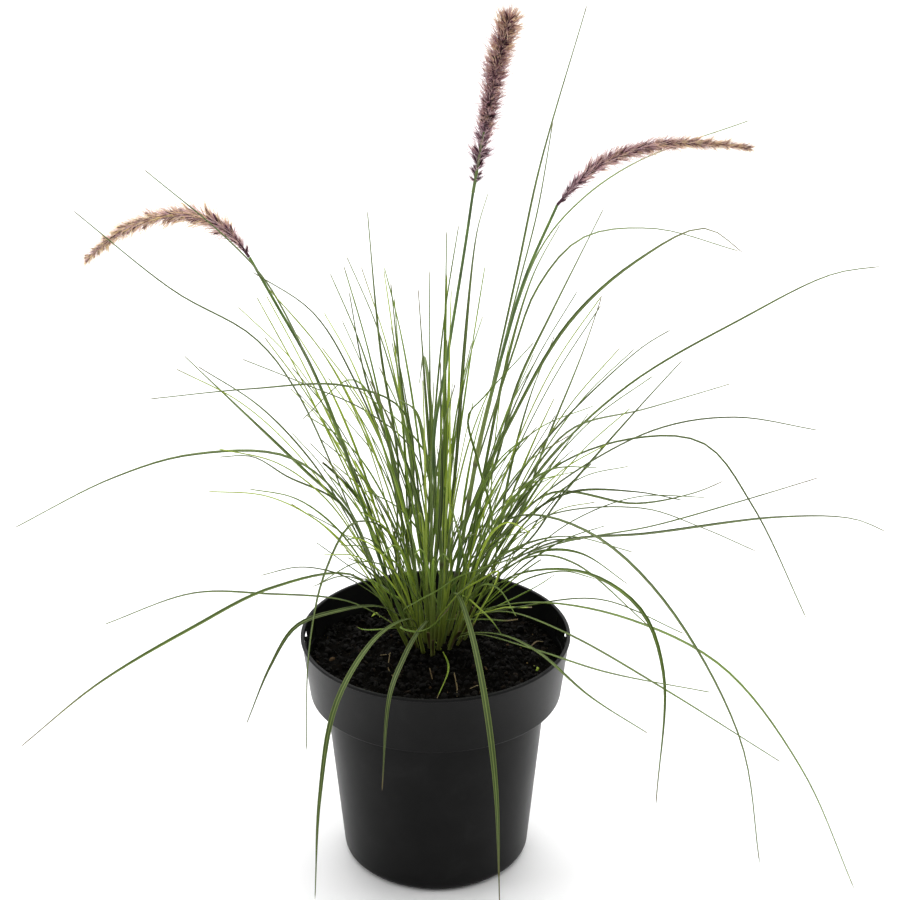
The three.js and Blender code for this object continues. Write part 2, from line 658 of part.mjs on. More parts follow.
export default grass;
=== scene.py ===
# A potted swamp foxtail grass: a black plastic grower's pot of peat, a tuft of long arching
# leaves, and three flowering stems with heads like bottle brushes. The pieces are made in the
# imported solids' frame: +Z up, front towards -Y. Sizes are in millimetres until a mesh is done.

import math

import bmesh
import bpy
import numpy as np
from mathutils import Matrix, Vector, noise


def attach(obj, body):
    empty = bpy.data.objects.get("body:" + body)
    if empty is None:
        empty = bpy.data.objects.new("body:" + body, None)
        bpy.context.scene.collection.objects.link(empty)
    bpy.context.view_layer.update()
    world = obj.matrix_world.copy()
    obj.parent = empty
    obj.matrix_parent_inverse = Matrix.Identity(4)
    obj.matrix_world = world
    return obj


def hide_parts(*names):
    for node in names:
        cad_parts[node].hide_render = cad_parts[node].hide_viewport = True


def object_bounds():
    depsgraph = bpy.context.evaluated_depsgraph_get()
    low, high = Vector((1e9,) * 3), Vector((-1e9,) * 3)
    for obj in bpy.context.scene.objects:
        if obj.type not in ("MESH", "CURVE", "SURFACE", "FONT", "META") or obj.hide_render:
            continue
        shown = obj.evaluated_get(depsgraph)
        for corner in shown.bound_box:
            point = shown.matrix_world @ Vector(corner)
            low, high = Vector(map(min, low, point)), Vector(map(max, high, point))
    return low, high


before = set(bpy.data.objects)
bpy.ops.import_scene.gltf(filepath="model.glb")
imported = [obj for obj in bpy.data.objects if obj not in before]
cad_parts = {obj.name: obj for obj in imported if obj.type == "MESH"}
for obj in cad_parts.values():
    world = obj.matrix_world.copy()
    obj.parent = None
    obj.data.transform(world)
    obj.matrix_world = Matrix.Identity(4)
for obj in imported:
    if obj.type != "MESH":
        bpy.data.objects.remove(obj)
solid_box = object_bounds()


# Pot
# One thin-walled injection moulding in black polypropylene, with a wide collar, a thin lip,
# drain holes, and a slot on each side for a carrying clip. Satin, a little scuffed by handling.

POT_HEIGHT = 174.0
RIM_RADIUS = 95.0
COLLAR_BOTTOM = 129.4
COLLAR_BOTTOM_RADIUS = 89.1
BODY_TOP_RADIUS = 78.5
BODY_BASE_RADIUS = 66.8
BASE_ROUNDING = 7.5
POT_WALL = 1.8
LIP_HEIGHT = 2.4
LIP_PROUD = 0.8
DRAIN_HOLES = 8
DRAIN_HOLE_RADIUS = 4.5
DRAIN_CIRCLE_RADIUS = 45
SLOT_HALF = 15
SLOT_BOTTOM = 162.5
SLOT_TOP = 169.5
TOOTH_PLACE = 8
TOOTH_HALF = 1.5
TOOTH_HEIGHT = 3.3
PANEL_BOTTOM = 155
PANEL_TOP = 171.4
PANEL_DEPTH = 0.35
PANEL_SPREAD = 36


def linear(code):
    """An sRGB hex colour as the linear values that a shader takes."""
    parts = [int(code[i : i + 2], 16) / 255 for i in (1, 3, 5)]
    return [c / 12.92 if c < 0.04045 else ((c + 0.055) / 1.055) ** 2.4 for c in parts] + [1.0]


def set_inputs(node, inputs):
    """Sets or links each input of a node, given by its name or number."""
    for name, value in inputs.items():
        if isinstance(value, bpy.types.NodeSocket):
            node.id_data.links.new(value, node.inputs[name])
        else:
            node.inputs[name].default_value = value


def add(tree, kind, inputs=None, out=0, stops=(), **settings):
    """Adds a node with its settings and inputs, and returns one of its outputs. A colour ramp
    runs through its stops, which are pairs of a place and a hex colour."""
    node = tree.nodes.new("ShaderNode" + kind)
    for name, value in settings.items():
        setattr(node, name, value)
    if stops:
        elements = node.color_ramp.elements
        while len(elements) < len(stops):
            elements.new(0.5)
        for element, (place, colour) in zip(elements, stops):
            element.position = place
            element.color = linear(colour)
    set_inputs(node, inputs or {})
    return node.outputs[out]


def material(name, inputs):
    """A new material, its node tree and its surface shader."""
    new = bpy.data.materials.new(name)
    new.use_nodes = True
    shader = new.node_tree.nodes["Principled BSDF"]
    set_inputs(shader, inputs)
    return new, new.node_tree, shader


def to_mesh(name, bm):
    """Turns a bmesh into a mesh."""
    mesh = bpy.data.meshes.new(name)
    bm.to_mesh(mesh)
    bm.free()
    return mesh


def to_scene(name, data):
    """Puts a mesh, a light or a camera into the scene."""
    made = bpy.data.objects.new(name, data)
    bpy.context.scene.collection.objects.link(made)
    return made


def finish(name, bm, finish_material, slot, *nodes, sharp=40):
    """Turns a bmesh in millimetres into a smooth piece of the object in metres."""
    mesh = to_mesh(name, bm)
    mesh.transform(Matrix.Scale(0.001, 4))
    mesh.shade_smooth()
    mesh.set_sharp_from_angle(angle=math.radians(sharp))
    mesh.materials.append(finish_material)
    piece = to_scene(name, mesh)
    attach(piece, "root")
    if nodes:
        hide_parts(*nodes)


def turned(profile, steps):
    """A full turn of a profile of [radius, height] points that starts and ends on the axis."""
    bm = bmesh.new()
    points = [bm.verts.new((radius, 0, height)) for radius, height in profile]
    edges = [bm.edges.new(pair) for pair in zip(points, points[1:])]
    bmesh.ops.spin(
        bm, geom=points + edges, axis=(0, 0, 1), cent=(0, 0, 0), angle=math.tau, steps=steps,
        use_merge=True,
    )
    bmesh.ops.remove_doubles(bm, verts=bm.verts, dist=1e-4)
    bmesh.ops.recalc_face_normals(bm, faces=bm.faces)
    return bm


def arc(centre, radius, start, end, steps):
    """Points of a rounding, from one angle to another in degrees."""
    angles = [math.radians(start + (end - start) * i / steps) for i in range(steps + 1)]
    return [(centre[0] + radius * math.cos(a), centre[1] + radius * math.sin(a)) for a in angles]


lip_bottom = POT_HEIGHT - LIP_HEIGHT
wall_top = RIM_RADIUS - LIP_PROUD - POT_WALL
pot_profile = [
    (0, 0),
    *arc((BODY_BASE_RADIUS - BASE_ROUNDING, BASE_ROUNDING), BASE_ROUNDING, -90, -5, 8),
    (BODY_TOP_RADIUS - 0.6, COLLAR_BOTTOM - 5),
    *arc((BODY_TOP_RADIUS + 1.0, COLLAR_BOTTOM - 1.2), 1.2, 180, 90, 3),
    *arc((COLLAR_BOTTOM_RADIUS - 1.2, COLLAR_BOTTOM + 1.2), 1.2, -90, -5, 4),
    (RIM_RADIUS - LIP_PROUD, lip_bottom),
    *arc((RIM_RADIUS - 0.5, lip_bottom + 0.9), 0.5, -90, 0, 3),
    *arc((RIM_RADIUS - 0.7, POT_HEIGHT - 0.7), 0.7, 0, 90, 4),
    *arc((wall_top + 0.6, POT_HEIGHT - 0.6), 0.6, 90, 180, 4),
    (COLLAR_BOTTOM_RADIUS - POT_WALL, COLLAR_BOTTOM + POT_WALL + 1),
    (COLLAR_BOTTOM_RADIUS - POT_WALL - 1, COLLAR_BOTTOM + POT_WALL),
    (BODY_TOP_RADIUS - POT_WALL, COLLAR_BOTTOM + POT_WALL),
    (BODY_BASE_RADIUS - POT_WALL, BASE_ROUNDING + POT_WALL),
    (BODY_BASE_RADIUS - BASE_ROUNDING, POT_WALL),
    (0, POT_WALL),
]
pot_bm = turned(pot_profile, 128)


def cut(bm, cutter):
    """Takes one closed body away from another, and returns what is left."""
    bodies = [to_scene("uncut", to_mesh("uncut", part)) for part in (bm, cutter)]
    modifier = bodies[0].modifiers.new("cut", "BOOLEAN")
    modifier.operation = "DIFFERENCE"
    modifier.solver = "EXACT"
    modifier.use_self = True
    modifier.object = bodies[1]
    left = bmesh.new()
    left.from_object(bodies[0], bpy.context.evaluated_depsgraph_get())
    for body in bodies:
        bpy.data.objects.remove(body)
    return left


def collar_inside(z):
    """The radius of the collar's inner wall at a height."""
    rise = (z - COLLAR_BOTTOM) / (POT_HEIGHT - COLLAR_BOTTOM)
    flare = RIM_RADIUS - LIP_PROUD - COLLAR_BOTTOM_RADIUS
    return COLLAR_BOTTOM_RADIUS - POT_WALL + flare * rise


# Eight drain holes in the base, and a slot through the collar on each side for the clip, with
# two small teeth on its lower edge, in the middle of a shallow panel in the inner wall
cutter = bmesh.new()
for hole in range(DRAIN_HOLES):
    turn = Matrix.Rotation(math.tau * hole / DRAIN_HOLES, 4, "Z")
    bmesh.ops.create_cone(
        cutter, cap_ends=True, segments=24, radius1=DRAIN_HOLE_RADIUS, radius2=DRAIN_HOLE_RADIUS,
        depth=8, matrix=turn @ Matrix.Translation((DRAIN_CIRCLE_RADIUS, 0, 1)),
    )
teeth = [
    (middle + side, SLOT_BOTTOM + rise)
    for middle in (-TOOTH_PLACE, TOOTH_PLACE)
    for side, rise in ((-TOOTH_HALF, 0), (0, TOOTH_HEIGHT), (TOOTH_HALF, 0))
]
slot_outline = [
    (-SLOT_HALF, SLOT_BOTTOM), *teeth, (SLOT_HALF, SLOT_BOTTOM), (SLOT_HALF, SLOT_TOP),
    (-SLOT_HALF, SLOT_TOP),
]
panel_section = [
    (-2.5, PANEL_BOTTOM), (PANEL_DEPTH, PANEL_BOTTOM), (PANEL_DEPTH, PANEL_TOP), (-2.5, PANEL_TOP)
]
for facing in (-1, 1):
    inside, outside = facing * (wall_top - 4.4), facing * (RIM_RADIUS + 3)
    face = cutter.faces.new([cutter.verts.new((inside, y, z)) for y, z in slot_outline])
    through = bmesh.ops.extrude_face_region(cutter, geom=[face])["geom"]
    moved = [part for part in through if isinstance(part, bmesh.types.BMVert)]
    bmesh.ops.translate(cutter, verts=moved, vec=(outside - inside, 0, 0))
    start = Matrix.Rotation(math.radians(facing * 90 - 90 - PANEL_SPREAD / 2), 3, "Z")
    corners = [start @ Vector((collar_inside(z) + out, 0, z)) for out, z in panel_section]
    face = cutter.faces.new([cutter.verts.new(corner) for corner in corners])
    bmesh.ops.spin(
        cutter, geom=[face, *face.edges, *face.verts], axis=(0, 0, 1), cent=(0, 0, 0),
        angle=math.radians(PANEL_SPREAD), steps=14,
    )
bmesh.ops.recalc_face_normals(cutter, faces=cutter.faces)
pot_bm = cut(pot_bm, cutter)

# Moulded polypropylene: a fine even grain that softens the gloss, faint paler scuffs a few
# centimetres long, and pits of a millimetre or so
pot_plastic, tree, shader = material(
    "satin_black_polypropylene", {"IOR": 1.49, "Specular IOR Level": 0.065}
)
place = add(tree, "TexCoord", out="Object")
scuffs = add(tree, "TexNoise", {"Vector": place, "Scale": 38.0, "Detail": 5.0})
grain = add(tree, "TexNoise", {"Vector": place, "Scale": 1600.0, "Detail": 2.0})
cells = add(tree, "TexVoronoi", {"Vector": place, "Scale": 70.0}).node.outputs
pits = add(tree, "MapRange", {0: cells["Distance"], 1: 0.04, 2: 0.09, 3: 0.0, 4: 1.0})
rare = add(tree, "Math", {0: cells["Color"], 1: 0.06}, operation="GREATER_THAN")
flat = add(tree, "Math", {0: pits, 1: rare}, operation="MAXIMUM")
black = [(0.35, "#131313"), (0.6, "#171717"), (0.78, "#1f1f1f")]
black = add(tree, "ValToRGB", {"Fac": scuffs}, stops=black)
colour = add(tree, "Mix", {0: flat, 6: linear("#101010"), 7: black}, 2, data_type="RGBA")
gloss = add(tree, "MapRange", {0: scuffs, 3: 0.28, 4: 0.42})
relief = add(tree, "Math", {0: grain, 1: flat}, operation="ADD")
bump = add(tree, "Bump", {"Height": relief, "Strength": 0.12, "Distance": 0.0004})
set_inputs(shader, {"Base Color": colour, "Roughness": gloss, "Normal": bump})
finish("growers_pot", pot_bm, pot_plastic, "pot_plastic", "pot", sharp=32)


# Soil
# Moist black peat compost with bark and fibre in it, poured in to a few centimetres under the
# rim and left crumbly, a little mounded under the tuft.

SOIL_EDGE_HEIGHT = 150.0
SOIL_MOUND = 8.0
SOIL_MOUND_SPREAD = 48.0
SOIL_CRUMB = 1.1
SOIL_LUMP = 1.5
SOIL_LUMP_SPAN = 4.6
SOIL_RINGS = 56
GAP = 0.3
CRUMBS = 7000
CRUMB_LEAST = 0.35
CRUMB_RANGE = 1.9
COARSE_CRUMB = 1.5
LUMPS = 12
PLAIN_LUMPS = 8  # the first of the lumps, with few faces. Coarse crumbs have the others
CRUMB_TONES = {0.1: 0.62, 0.3: 0.3, 0.5: 0.07, 0.75: 0.008, 0.95: 0.002}  # shade: share of all
CROWN = np.array([-2.0, 20.0, SOIL_EDGE_HEIGHT + SOIL_MOUND])


def soil_height(x, y):
    """The top of the solid's soil, with its mound and low waves."""
    away = (x - CROWN[0]) ** 2 + (y - CROWN[1]) ** 2
    mound = SOIL_MOUND * math.exp(-away / (2 * SOIL_MOUND_SPREAD**2))
    crumb = math.sin(x / 5.1) * math.cos(y / 4.3) + 0.6 * math.sin((x + 2 * y) / 7.7)
    return SOIL_EDGE_HEIGHT + mound + SOIL_CRUMB * crumb


def soil_skin(x, y):
    """The soil's surface with its fine lumps."""
    fine = noise.fractal(Vector((x, y, 0)) / SOIL_LUMP_SPAN, 0.75, 2.1, 5)
    return soil_height(x, y) + SOIL_LUMP * fine


wall_gap = POT_WALL + GAP
soil_radius = collar_inside(SOIL_EDGE_HEIGHT) - GAP
soil_bm = turned(
    [
        (0, wall_gap),
        (BODY_BASE_RADIUS - BASE_ROUNDING, wall_gap),
        (BODY_BASE_RADIUS - wall_gap, BASE_ROUNDING + wall_gap),
        (BODY_TOP_RADIUS - wall_gap, COLLAR_BOTTOM + wall_gap),
        (COLLAR_BOTTOM_RADIUS - wall_gap, COLLAR_BOTTOM + wall_gap),
        *[(soil_radius * (1 - i / SOIL_RINGS), SOIL_EDGE_HEIGHT) for i in range(SOIL_RINGS + 1)],
    ],
    180,
)
for vertex in soil_bm.verts:
    if vertex.co.z > SOIL_EDGE_HEIGHT - 1:
        vertex.co.z = soil_skin(vertex.co.x, vertex.co.y)
bmesh.ops.recalc_face_normals(soil_bm, faces=soil_bm.faces)

# Near-black peat with browner fibre in patches of 4 or 5 mm, and grit of about 1 mm. Its dark
# colours are partly the moist peat's own and partly painted shade from the leaves and the pot's
# walls. It is dull all over, with damp patches that shine a little
peat, tree, shader = material("black_peat_and_painted_shade", {"IOR": 1.4, "Specular IOR Level": 0.02})
place = add(tree, "TexCoord", out="Object")
patches = add(tree, "TexNoise", {"Vector": place, "Scale": 220.0, "Detail": 8.0})
fine = add(tree, "TexNoise", {"Vector": place, "Scale": 900.0, "Detail": 4.0})
brown = [(0.3, "#030302"), (0.5, "#070604"), (0.66, "#0e0b08"), (0.8, "#1a140d")]
brown = add(tree, "ValToRGB", {"Fac": patches}, stops=brown)
damp = add(tree, "MapRange", {0: patches, 1: 0.3, 2: 0.7, 3: 0.6, 4: 0.95})
bump = add(tree, "Bump", {"Height": fine, "Strength": 0.6, "Distance": 0.0008})
set_inputs(shader, {"Base Color": brown, "Roughness": damp, "Normal": bump})
finish("peat_filling", soil_bm, peat, "potting_soil", "soil", sharp=80)


def lay(bm, kind, place, **looks):
    """Lays a copy of a small shape into a bmesh, with its own value for each look."""
    mesh = kind.copy()
    for name, value in looks.items():
        own = mesh.attributes.new(name, "FLOAT", "POINT")
        own.data.foreach_set("value", np.full(len(mesh.vertices), value))
    mesh.transform(place)
    bm.from_mesh(mesh)
    bpy.data.meshes.remove(mesh)


# Crumbs of peat and bark lie on the soil, with a few paler bits among them
dice = np.random.default_rng(5)
lumps = []
for number in range(LUMPS):
    bm = bmesh.new()
    bmesh.ops.create_icosphere(bm, subdivisions=1 if number < PLAIN_LUMPS else 2, radius=1)
    for vertex in bm.verts:
        vertex.co *= dice.uniform(0.7, 1.25)
    lumps.append(to_mesh("lump", bm))

crumbs = bmesh.new()
for number in range(CRUMBS):
    size = CRUMB_LEAST + CRUMB_RANGE * dice.random() ** 4
    reach = (soil_radius - 1.5) * math.sqrt(dice.random())
    turn = dice.random() * math.tau
    x, y = reach * math.cos(turn), reach * math.sin(turn)
    stretch = Matrix.Diagonal((*(size * dice.uniform(0.35, 1.6, 3)), 1))
    roll = Matrix.Rotation(dice.random() * math.tau, 4, Vector(dice.normal(size=3)))
    tone = dice.choice(list(CRUMB_TONES), p=list(CRUMB_TONES.values()))
    coarse = size >= COARSE_CRUMB
    kind = dice.integers(PLAIN_LUMPS, LUMPS) if coarse else dice.integers(PLAIN_LUMPS)
    place = Matrix.Translation((x, y, soil_skin(x, y) + 0.15 * size)) @ roll @ stretch
    lay(crumbs, lumps[kind], place, shade=tone)

# Each crumb has its own shade, from wet peat to dry bark and a little straw-coloured fibre
crumb_peat, tree, shader = material(
    "crumbled_peat_and_bark", {"IOR": 1.4, "Roughness": 0.9, "Specular IOR Level": 0.2}
)
own = add(tree, "Attribute", out="Fac", attribute_name="shade")
place = add(tree, "TexCoord", out="Object")
fine = add(tree, "TexNoise", {"Vector": place, "Scale": 700.0, "Detail": 4.0})
mottle = add(tree, "Math", {0: fine, 1: 0.25, 2: own}, operation="MULTIPLY_ADD")
# The darkest crumbs are as dark as the peat: partly their own colour, partly painted shade
bark = [(0.1, "#070605"), (0.4, "#0e0c09"), (0.6, "#19130d"), (0.85, "#3a2a1a"), (1.0, "#695636")]
bark = add(tree, "ValToRGB", {"Fac": mottle}, stops=bark)
bump = add(tree, "Bump", {"Height": fine, "Strength": 0.7, "Distance": 0.0006})
set_inputs(shader, {"Base Color": bark, "Normal": bump})
finish("peat_crumbs", crumbs, crumb_peat, "potting_soil", sharp=70)


# Growth of the tuft
# Tillers stand on a spiral in an oval crown and lean outwards like a fan. Each leaf grows from
# its sheath where it finds room, in the same order and by the same draws as the solids, so
# that it lies on the solid's own line.

CROWN_WIDTH = 47.0
CROWN_DEPTH = 46.0
TUFT_AXIS = np.array([4.0, 20.0, 0.0])
CULM_SEATS = {"centre": 0, "right": 5, "left": 17}
FAN = 0.021
ROOT_DEPTH = 12.0
SHEATH_WIDTH = 3.4
LEAVES_PER_TILLER = 4
LEAF_ROOT = 9.0
CULM_SHEATH = 60.0
SHEATH_HEIGHTS = (36, 66)
SEATS = 37
LONG_LEAVES_PER_TILLER = 2
FILL_LENGTHS = (110, 275)
FILL_WIDTHS = (2.2, 3.2)
FILL_FINENESS = 0.76
SAMPLE_STEP = 4
LEAST_ROOM = 3
CLEARANCE = 0.75
GOLDEN_ANGLE = math.radians(137.508)

# Long leaves, most of them in turn from the left by the front to the right and the back: each
# one's bearing in degrees from +X towards the back, its width, and the (reach from the tuft's
# axis, height) that it bends through
LONG_LEAVES = [
    (170, 3.6, [(100, 340), (130, 380), (185, 410), (255, 465)]),
    (160, 4.8, [(70, 245), (105, 275), (165, 325), (195, 350)]),
    (195, 3.8, [(25, 335), (65, 360), (130, 365), (200, 365)]),
    (186, 4.4, [(65, 265), (105, 305), (170, 310), (225, 295), (295, 260)]),
    (176, 2.6, [(69, 260), (108, 282), (131, 296), (156, 295)]),
    (200, 4.4, [(65, 220), (125, 220), (180, 200), (248, 169), (305, 130)]),
    (190, 2.6, [(65, 193), (125, 205), (175, 210), (238, 191)]),
    (216, 3.6, [(52, 200), (90, 209), (124, 208), (145, 185), (166, 147)]),
    (222, 3.2, [(50, 260), (80, 275), (105, 245), (120, 192), (125, 115)]),
    (243, 4.2, [(45, 195), (100, 205), (152, 182), (175, 125), (185, 50)]),
    (256, 3.8, [(35, 190), (62, 194), (95, 192), (127, 181), (146, 120)]),
    (283, 4.8, [(40, 215), (80, 215), (125, 187), (160, 135), (175, 45)]),
    (315, 4.4, [(65, 275), (135, 290), (200, 265), (267, 192), (290, 105)]),
    (311, 2.8, [(60, 186), (100, 189), (150, 177), (206, 173)]),
    (318, 3.0, [(30, 172), (88, 181), (148, 187), (235, 205)]),
    (320, 3.6, [(70, 233), (130, 252), (172, 239), (191, 200), (190, 96)]),
    (328, 4.4, [(75, 208), (150, 216), (220, 200), (280, 142), (324, 62)]),
    (333, 3.0, [(53, 192), (98, 186), (172, 161), (258, 127)]),
    (345, 2.8, [(60, 192), (115, 205), (175, 186)]),
    (325, 2.8, [(75, 245), (110, 250), (170, 220)]),
    (348, 3.8, [(76, 297), (135, 327), (180, 327), (215, 284), (257, 201)]),
    (348, 3.0, [(70, 260), (140, 275), (180, 265), (220, 250)]),
    (357, 4.2, [(75, 235), (145, 245), (235, 260), (285, 260), (310, 250)]),
    (355, 3.0, [(75, 275), (135, 270), (175, 280), (195, 290)]),
    (0, 4.0, [(75, 275), (145, 320), (200, 330), (260, 320)]),
    (345, 3.6, [(60, 240), (85, 280), (135, 350), (165, 390)]),
    (350, 3.6, [(60, 300), (85, 335), (135, 390), (155, 405)]),
    (5, 4.4, [(75, 295), (130, 350), (205, 395), (265, 425), (300, 430)]),
    (10, 5.0, [(50, 325), (90, 395), (135, 435), (180, 455), (210, 435)]),
    (8, 3.8, [(80, 229), (150, 241), (210, 257), (268, 274)]),
    (15, 3.6, [(60, 270), (95, 309), (150, 318), (216, 330)]),
    (25, 2.8, [(54, 366), (73, 413), (105, 443), (160, 443), (235, 415)]),
    (30, 3.6, [(60, 235), (85, 290), (115, 355), (130, 395)]),
    (40, 4.0, [(45, 270), (70, 335), (100, 380), (150, 450)]),
    (60, 3.2, [(50, 240), (90, 330), (130, 390), (175, 420)]),
    (78, 3.6, [(45, 260), (80, 350), (120, 420), (165, 440)]),
    (95, 3.6, [(50, 240), (95, 300), (150, 315), (205, 270)]),
    (100, 3.0, [(40, 250), (70, 330), (95, 390)]),
    (118, 3.6, [(45, 280), (60, 330), (75, 405)]),
    (148, 2.6, [(34, 262), (52, 324), (72, 342), (119, 300)]),
    (140, 3.4, [(40, 285), (55, 365), (65, 465)]),
    (150, 3.4, [(30, 320), (50, 385), (75, 435)]),
    (163, 3.2, [(35, 290), (55, 355), (65, 415)]),
    (85, 3.6, [(20, 280), (30, 350), (45, 450)]),
    (270, 3.4, [(15, 270), (20, 330), (35, 385)]),
    (324, 3.0, [(43, 256), (32, 303), (23, 336), (36, 354), (76, 403)]),
    (235, 3.2, [(20, 250), (50, 330), (80, 385)]),
    (175, 3.2, [(33, 279), (60, 357), (87, 404), (128, 432)]),
    (182, 3.2, [(17, 301), (50, 334), (95, 356), (136, 374)]),
    (355, 2.8, [(55, 254), (90, 280), (135, 284), (168, 280)]),
    (170, 3.0, [(40, 195), (56, 204), (90, 228)]),
    (160, 2.6, [(38, 185), (50, 197), (73, 216)]),
]

# Flowering stems: the points of the stem above its sheath, the points of its head, and its
# leaves, each with the share of the stem where it starts, and then its bearing, width and bends
CULMS = {
    "centre": {
        "stem": [(-1, 10, 314), (8, 4, 378), (20, -4, 461), (25, -8, 499)],
        "head": [(25, -8, 499), (32, -20, 545), (41, -38, 598), (47, -50, 627)],
        "leaves": [(0.3, 250, 3.4, [(25, 300), (45, 350), (80, 375)])],
    },
    "right": {
        "stem": [(31, 16, 315), (49, 14, 393), (60, 12, 434), (80, 9, 485)],
        "head": [
            (80, 9, 485), (98, 7, 506), (123, 3, 522), (152, -1, 529), (179, -5, 530),
            (203, -8, 528),
        ],
        "leaves": [
            (0.5, 35, 3.4, [(63, 419), (82, 495), (119, 600)]),
            (0.58, 22, 3.0, [(58, 423), (70, 470), (80, 530)]),
            (0.66, 8, 3.0, [(66, 446), (92, 479), (130, 505), (207, 531)]),
        ],
    },
    "left": {
        "stem": [(-63, 38, 297), (-86, 44, 359), (-108, 50, 400), (-126, 55, 433)],
        "head": [
            (-126, 55, 433), (-140, 59, 450), (-161, 64, 459), (-189, 72, 456),
            (-217, 79, 443), (-245, 87, 418),
        ],
        "leaves": [(0.66, 172, 3.6, [(118, 421), (145, 452), (200, 498)])],
    },
}


class Bend:
    """A smooth curve through points, with even spacing along it."""

    shares = np.arange(201) / 200

    def __init__(self, points):
        self.points = np.array(points, float)
        steps = np.linalg.norm(np.diff(self.at(self.shares), axis=0), axis=1)
        self.lengths = np.concatenate([[0.0], np.cumsum(steps)])
        self.length = self.lengths[-1]

    def at(self, t):
        """Points at shares of the curve's parameter."""
        points = self.points
        whole = (len(points) - 1) * t
        first = np.minimum(np.floor(whole).astype(int), len(points) - 2)
        weight = (whole - first)[:, None]
        ends = [2 * points[0] - points[1]], [2 * points[-1] - points[-2]]
        longer = np.concatenate([ends[0], points, ends[1]])
        p0, p1, p2, p3 = (longer[first + i] for i in range(4))
        d0, d1, d2 = (
            (((b - a) ** 2).sum(axis=1) ** 0.25)[:, None]
            for a, b in ((p0, p1), (p1, p2), (p2, p3))
        )
        t1 = ((p1 - p0) / d0 - (p2 - p0) / (d0 + d1) + (p2 - p1) / d1) * d1
        t2 = ((p2 - p1) / d1 - (p3 - p1) / (d1 + d2) + (p3 - p2) / d2) * d1
        c2 = -3 * p1 + 3 * p2 - 2 * t1 - t2
        c3 = 2 * p1 - 2 * p2 + t1 + t2
        return p1 + t1 * weight + c2 * weight**2 + c3 * weight**3

    def along(self, shares):
        """Points at shares of the length."""
        return self.at(np.interp(np.array(shares) * self.length, self.lengths, self.shares))


DRAW_FACTOR = 16807
DRAW_SPAN = 2147483647
draw_state = 19


def draw(low, high):
    """The next of the solids' own draws, between two values."""
    global draw_state
    draw_state = draw_state * DRAW_FACTOR % DRAW_SPAN
    return low + (high - low) * draw_state / DRAW_SPAN


def leaf_half(t):
    """Half the width of a leaf as a share of its full width, from its root to its tip."""
    root = 0.62 + 0.38 * np.minimum(1, t / 0.25)
    taper = 1 - np.maximum(0, (t - 0.35) / 0.65) ** 1.5
    return 0.5 * root * np.maximum(taper, 0.08)


def level(bearing):
    """The level direction at a bearing."""
    angle = math.radians(bearing)
    return np.array([math.cos(angle), math.sin(angle), 0.0])


grown = []


def sampled(points, half_at):
    """A line's samples, its half widths there, and the box that it fills."""
    bend = Bend(points)
    steps = math.ceil(bend.length / SAMPLE_STEP)
    shares = np.arange(steps + 1) / steps
    samples = bend.along(shares)
    halves = half_at(shares) * np.ones(steps + 1)
    return samples, halves, samples.min(axis=0) - 5, samples.max(axis=0) + 5


def crosses(one, other):
    """Whether two sampled lines come too near to each other."""
    if (other[3] < one[2]).any() or (other[2] > one[3]).any():
        return False
    apart = ((one[0][:, None] - other[0][None]) ** 2).sum(axis=2)
    room = np.maximum(LEAST_ROOM, one[1][:, None] + other[1][None] + CLEARANCE)
    return (apart < room**2).any()


def over_pot(samples):
    """Whether a line keeps above the soil, the rim and the floor once past its sheath."""
    for x, y, z in samples[6:]:
        radius = math.hypot(x, y)
        if radius < RIM_RADIUS - 11:
            if z <= soil_height(x, y) + 3:
                return False
        elif z <= (POT_HEIGHT + 3 if radius < RIM_RADIUS + 4 else 6):
            return False
    return True


def is_clear(owner, line):
    """Whether a shoot's new line keeps clear of the pot and of all other shoots."""
    near = (other != owner and crosses(line, there) for other, there in grown)
    return over_pot(line[0]) and not any(near)


def grow_leaf(owner, roots, bearing, width, bends):
    """A leaf through its bends, turned a little about the tuft's axis until it is clear."""
    for turn in (0, 1.5, -1.5, 3, -3, 4.5, -4.5, 6, -6, 8, -8, 10, -10):
        way = level(bearing + turn)
        points = roots + [TUFT_AXIS + way * reach + [0, 0, height] for reach, height in bends]
        line = sampled(points, lambda t: width * leaf_half(t))
        if is_clear(owner, line):
            grown.append((owner, line))
            across = level(bearing + turn + 90)
            return {"points": points, "across": across, "width": width, "twist": draw(-0.9, 0.9)}
    return None


seats = []
for number in range(SEATS):
    ring = math.sqrt((number + 0.5) / SEATS)
    angle = number * GOLDEN_ANGLE
    foot = [CROWN_WIDTH / 2 * ring * math.cos(angle), CROWN_DEPTH / 2 * ring * math.sin(angle), 0]
    seats.append({"number": number, "foot": np.array(foot), "ring": ring, "leaves": [], "long": 0})


def on_sheath(seat, height):
    """A point on a seat's sheath line, at a height above the soil there."""
    return CROWN + seat["foot"] * (1 + FAN * height) + [0, 0, height]


for seat in seats:
    seat["culm"] = seat["number"] in CULM_SEATS.values()
    seat["sheath"] = CULM_SHEATH if seat["culm"] else draw(*SHEATH_HEIGHTS)
    line = [on_sheath(seat, -ROOT_DEPTH), on_sheath(seat, seat["sheath"])]
    grown.append((seat["number"], sampled(line, lambda t: SHEATH_WIDTH / 2)))

for side, number in CULM_SEATS.items():
    culm, seat = CULMS[side], seats[number]
    roots = [on_sheath(seat, height) for height in (-ROOT_DEPTH, CULM_SHEATH / 2, CULM_SHEATH)]
    culm["bend"] = Bend(roots + [np.array(point, float) for point in culm["stem"]])
    grown.append((number, sampled(culm["bend"].points, lambda t: 1.4)))
    grown.append((number, sampled(culm["head"], lambda t: 11)))
for side, number in CULM_SEATS.items():
    culm = CULMS[side]
    culm["grown"] = []
    for start, bearing, width, bends in culm["leaves"]:
        roots = list(culm["bend"].along([start - 0.05, start]))
        culm["grown"].append(grow_leaf(number, roots, bearing, width, bends))

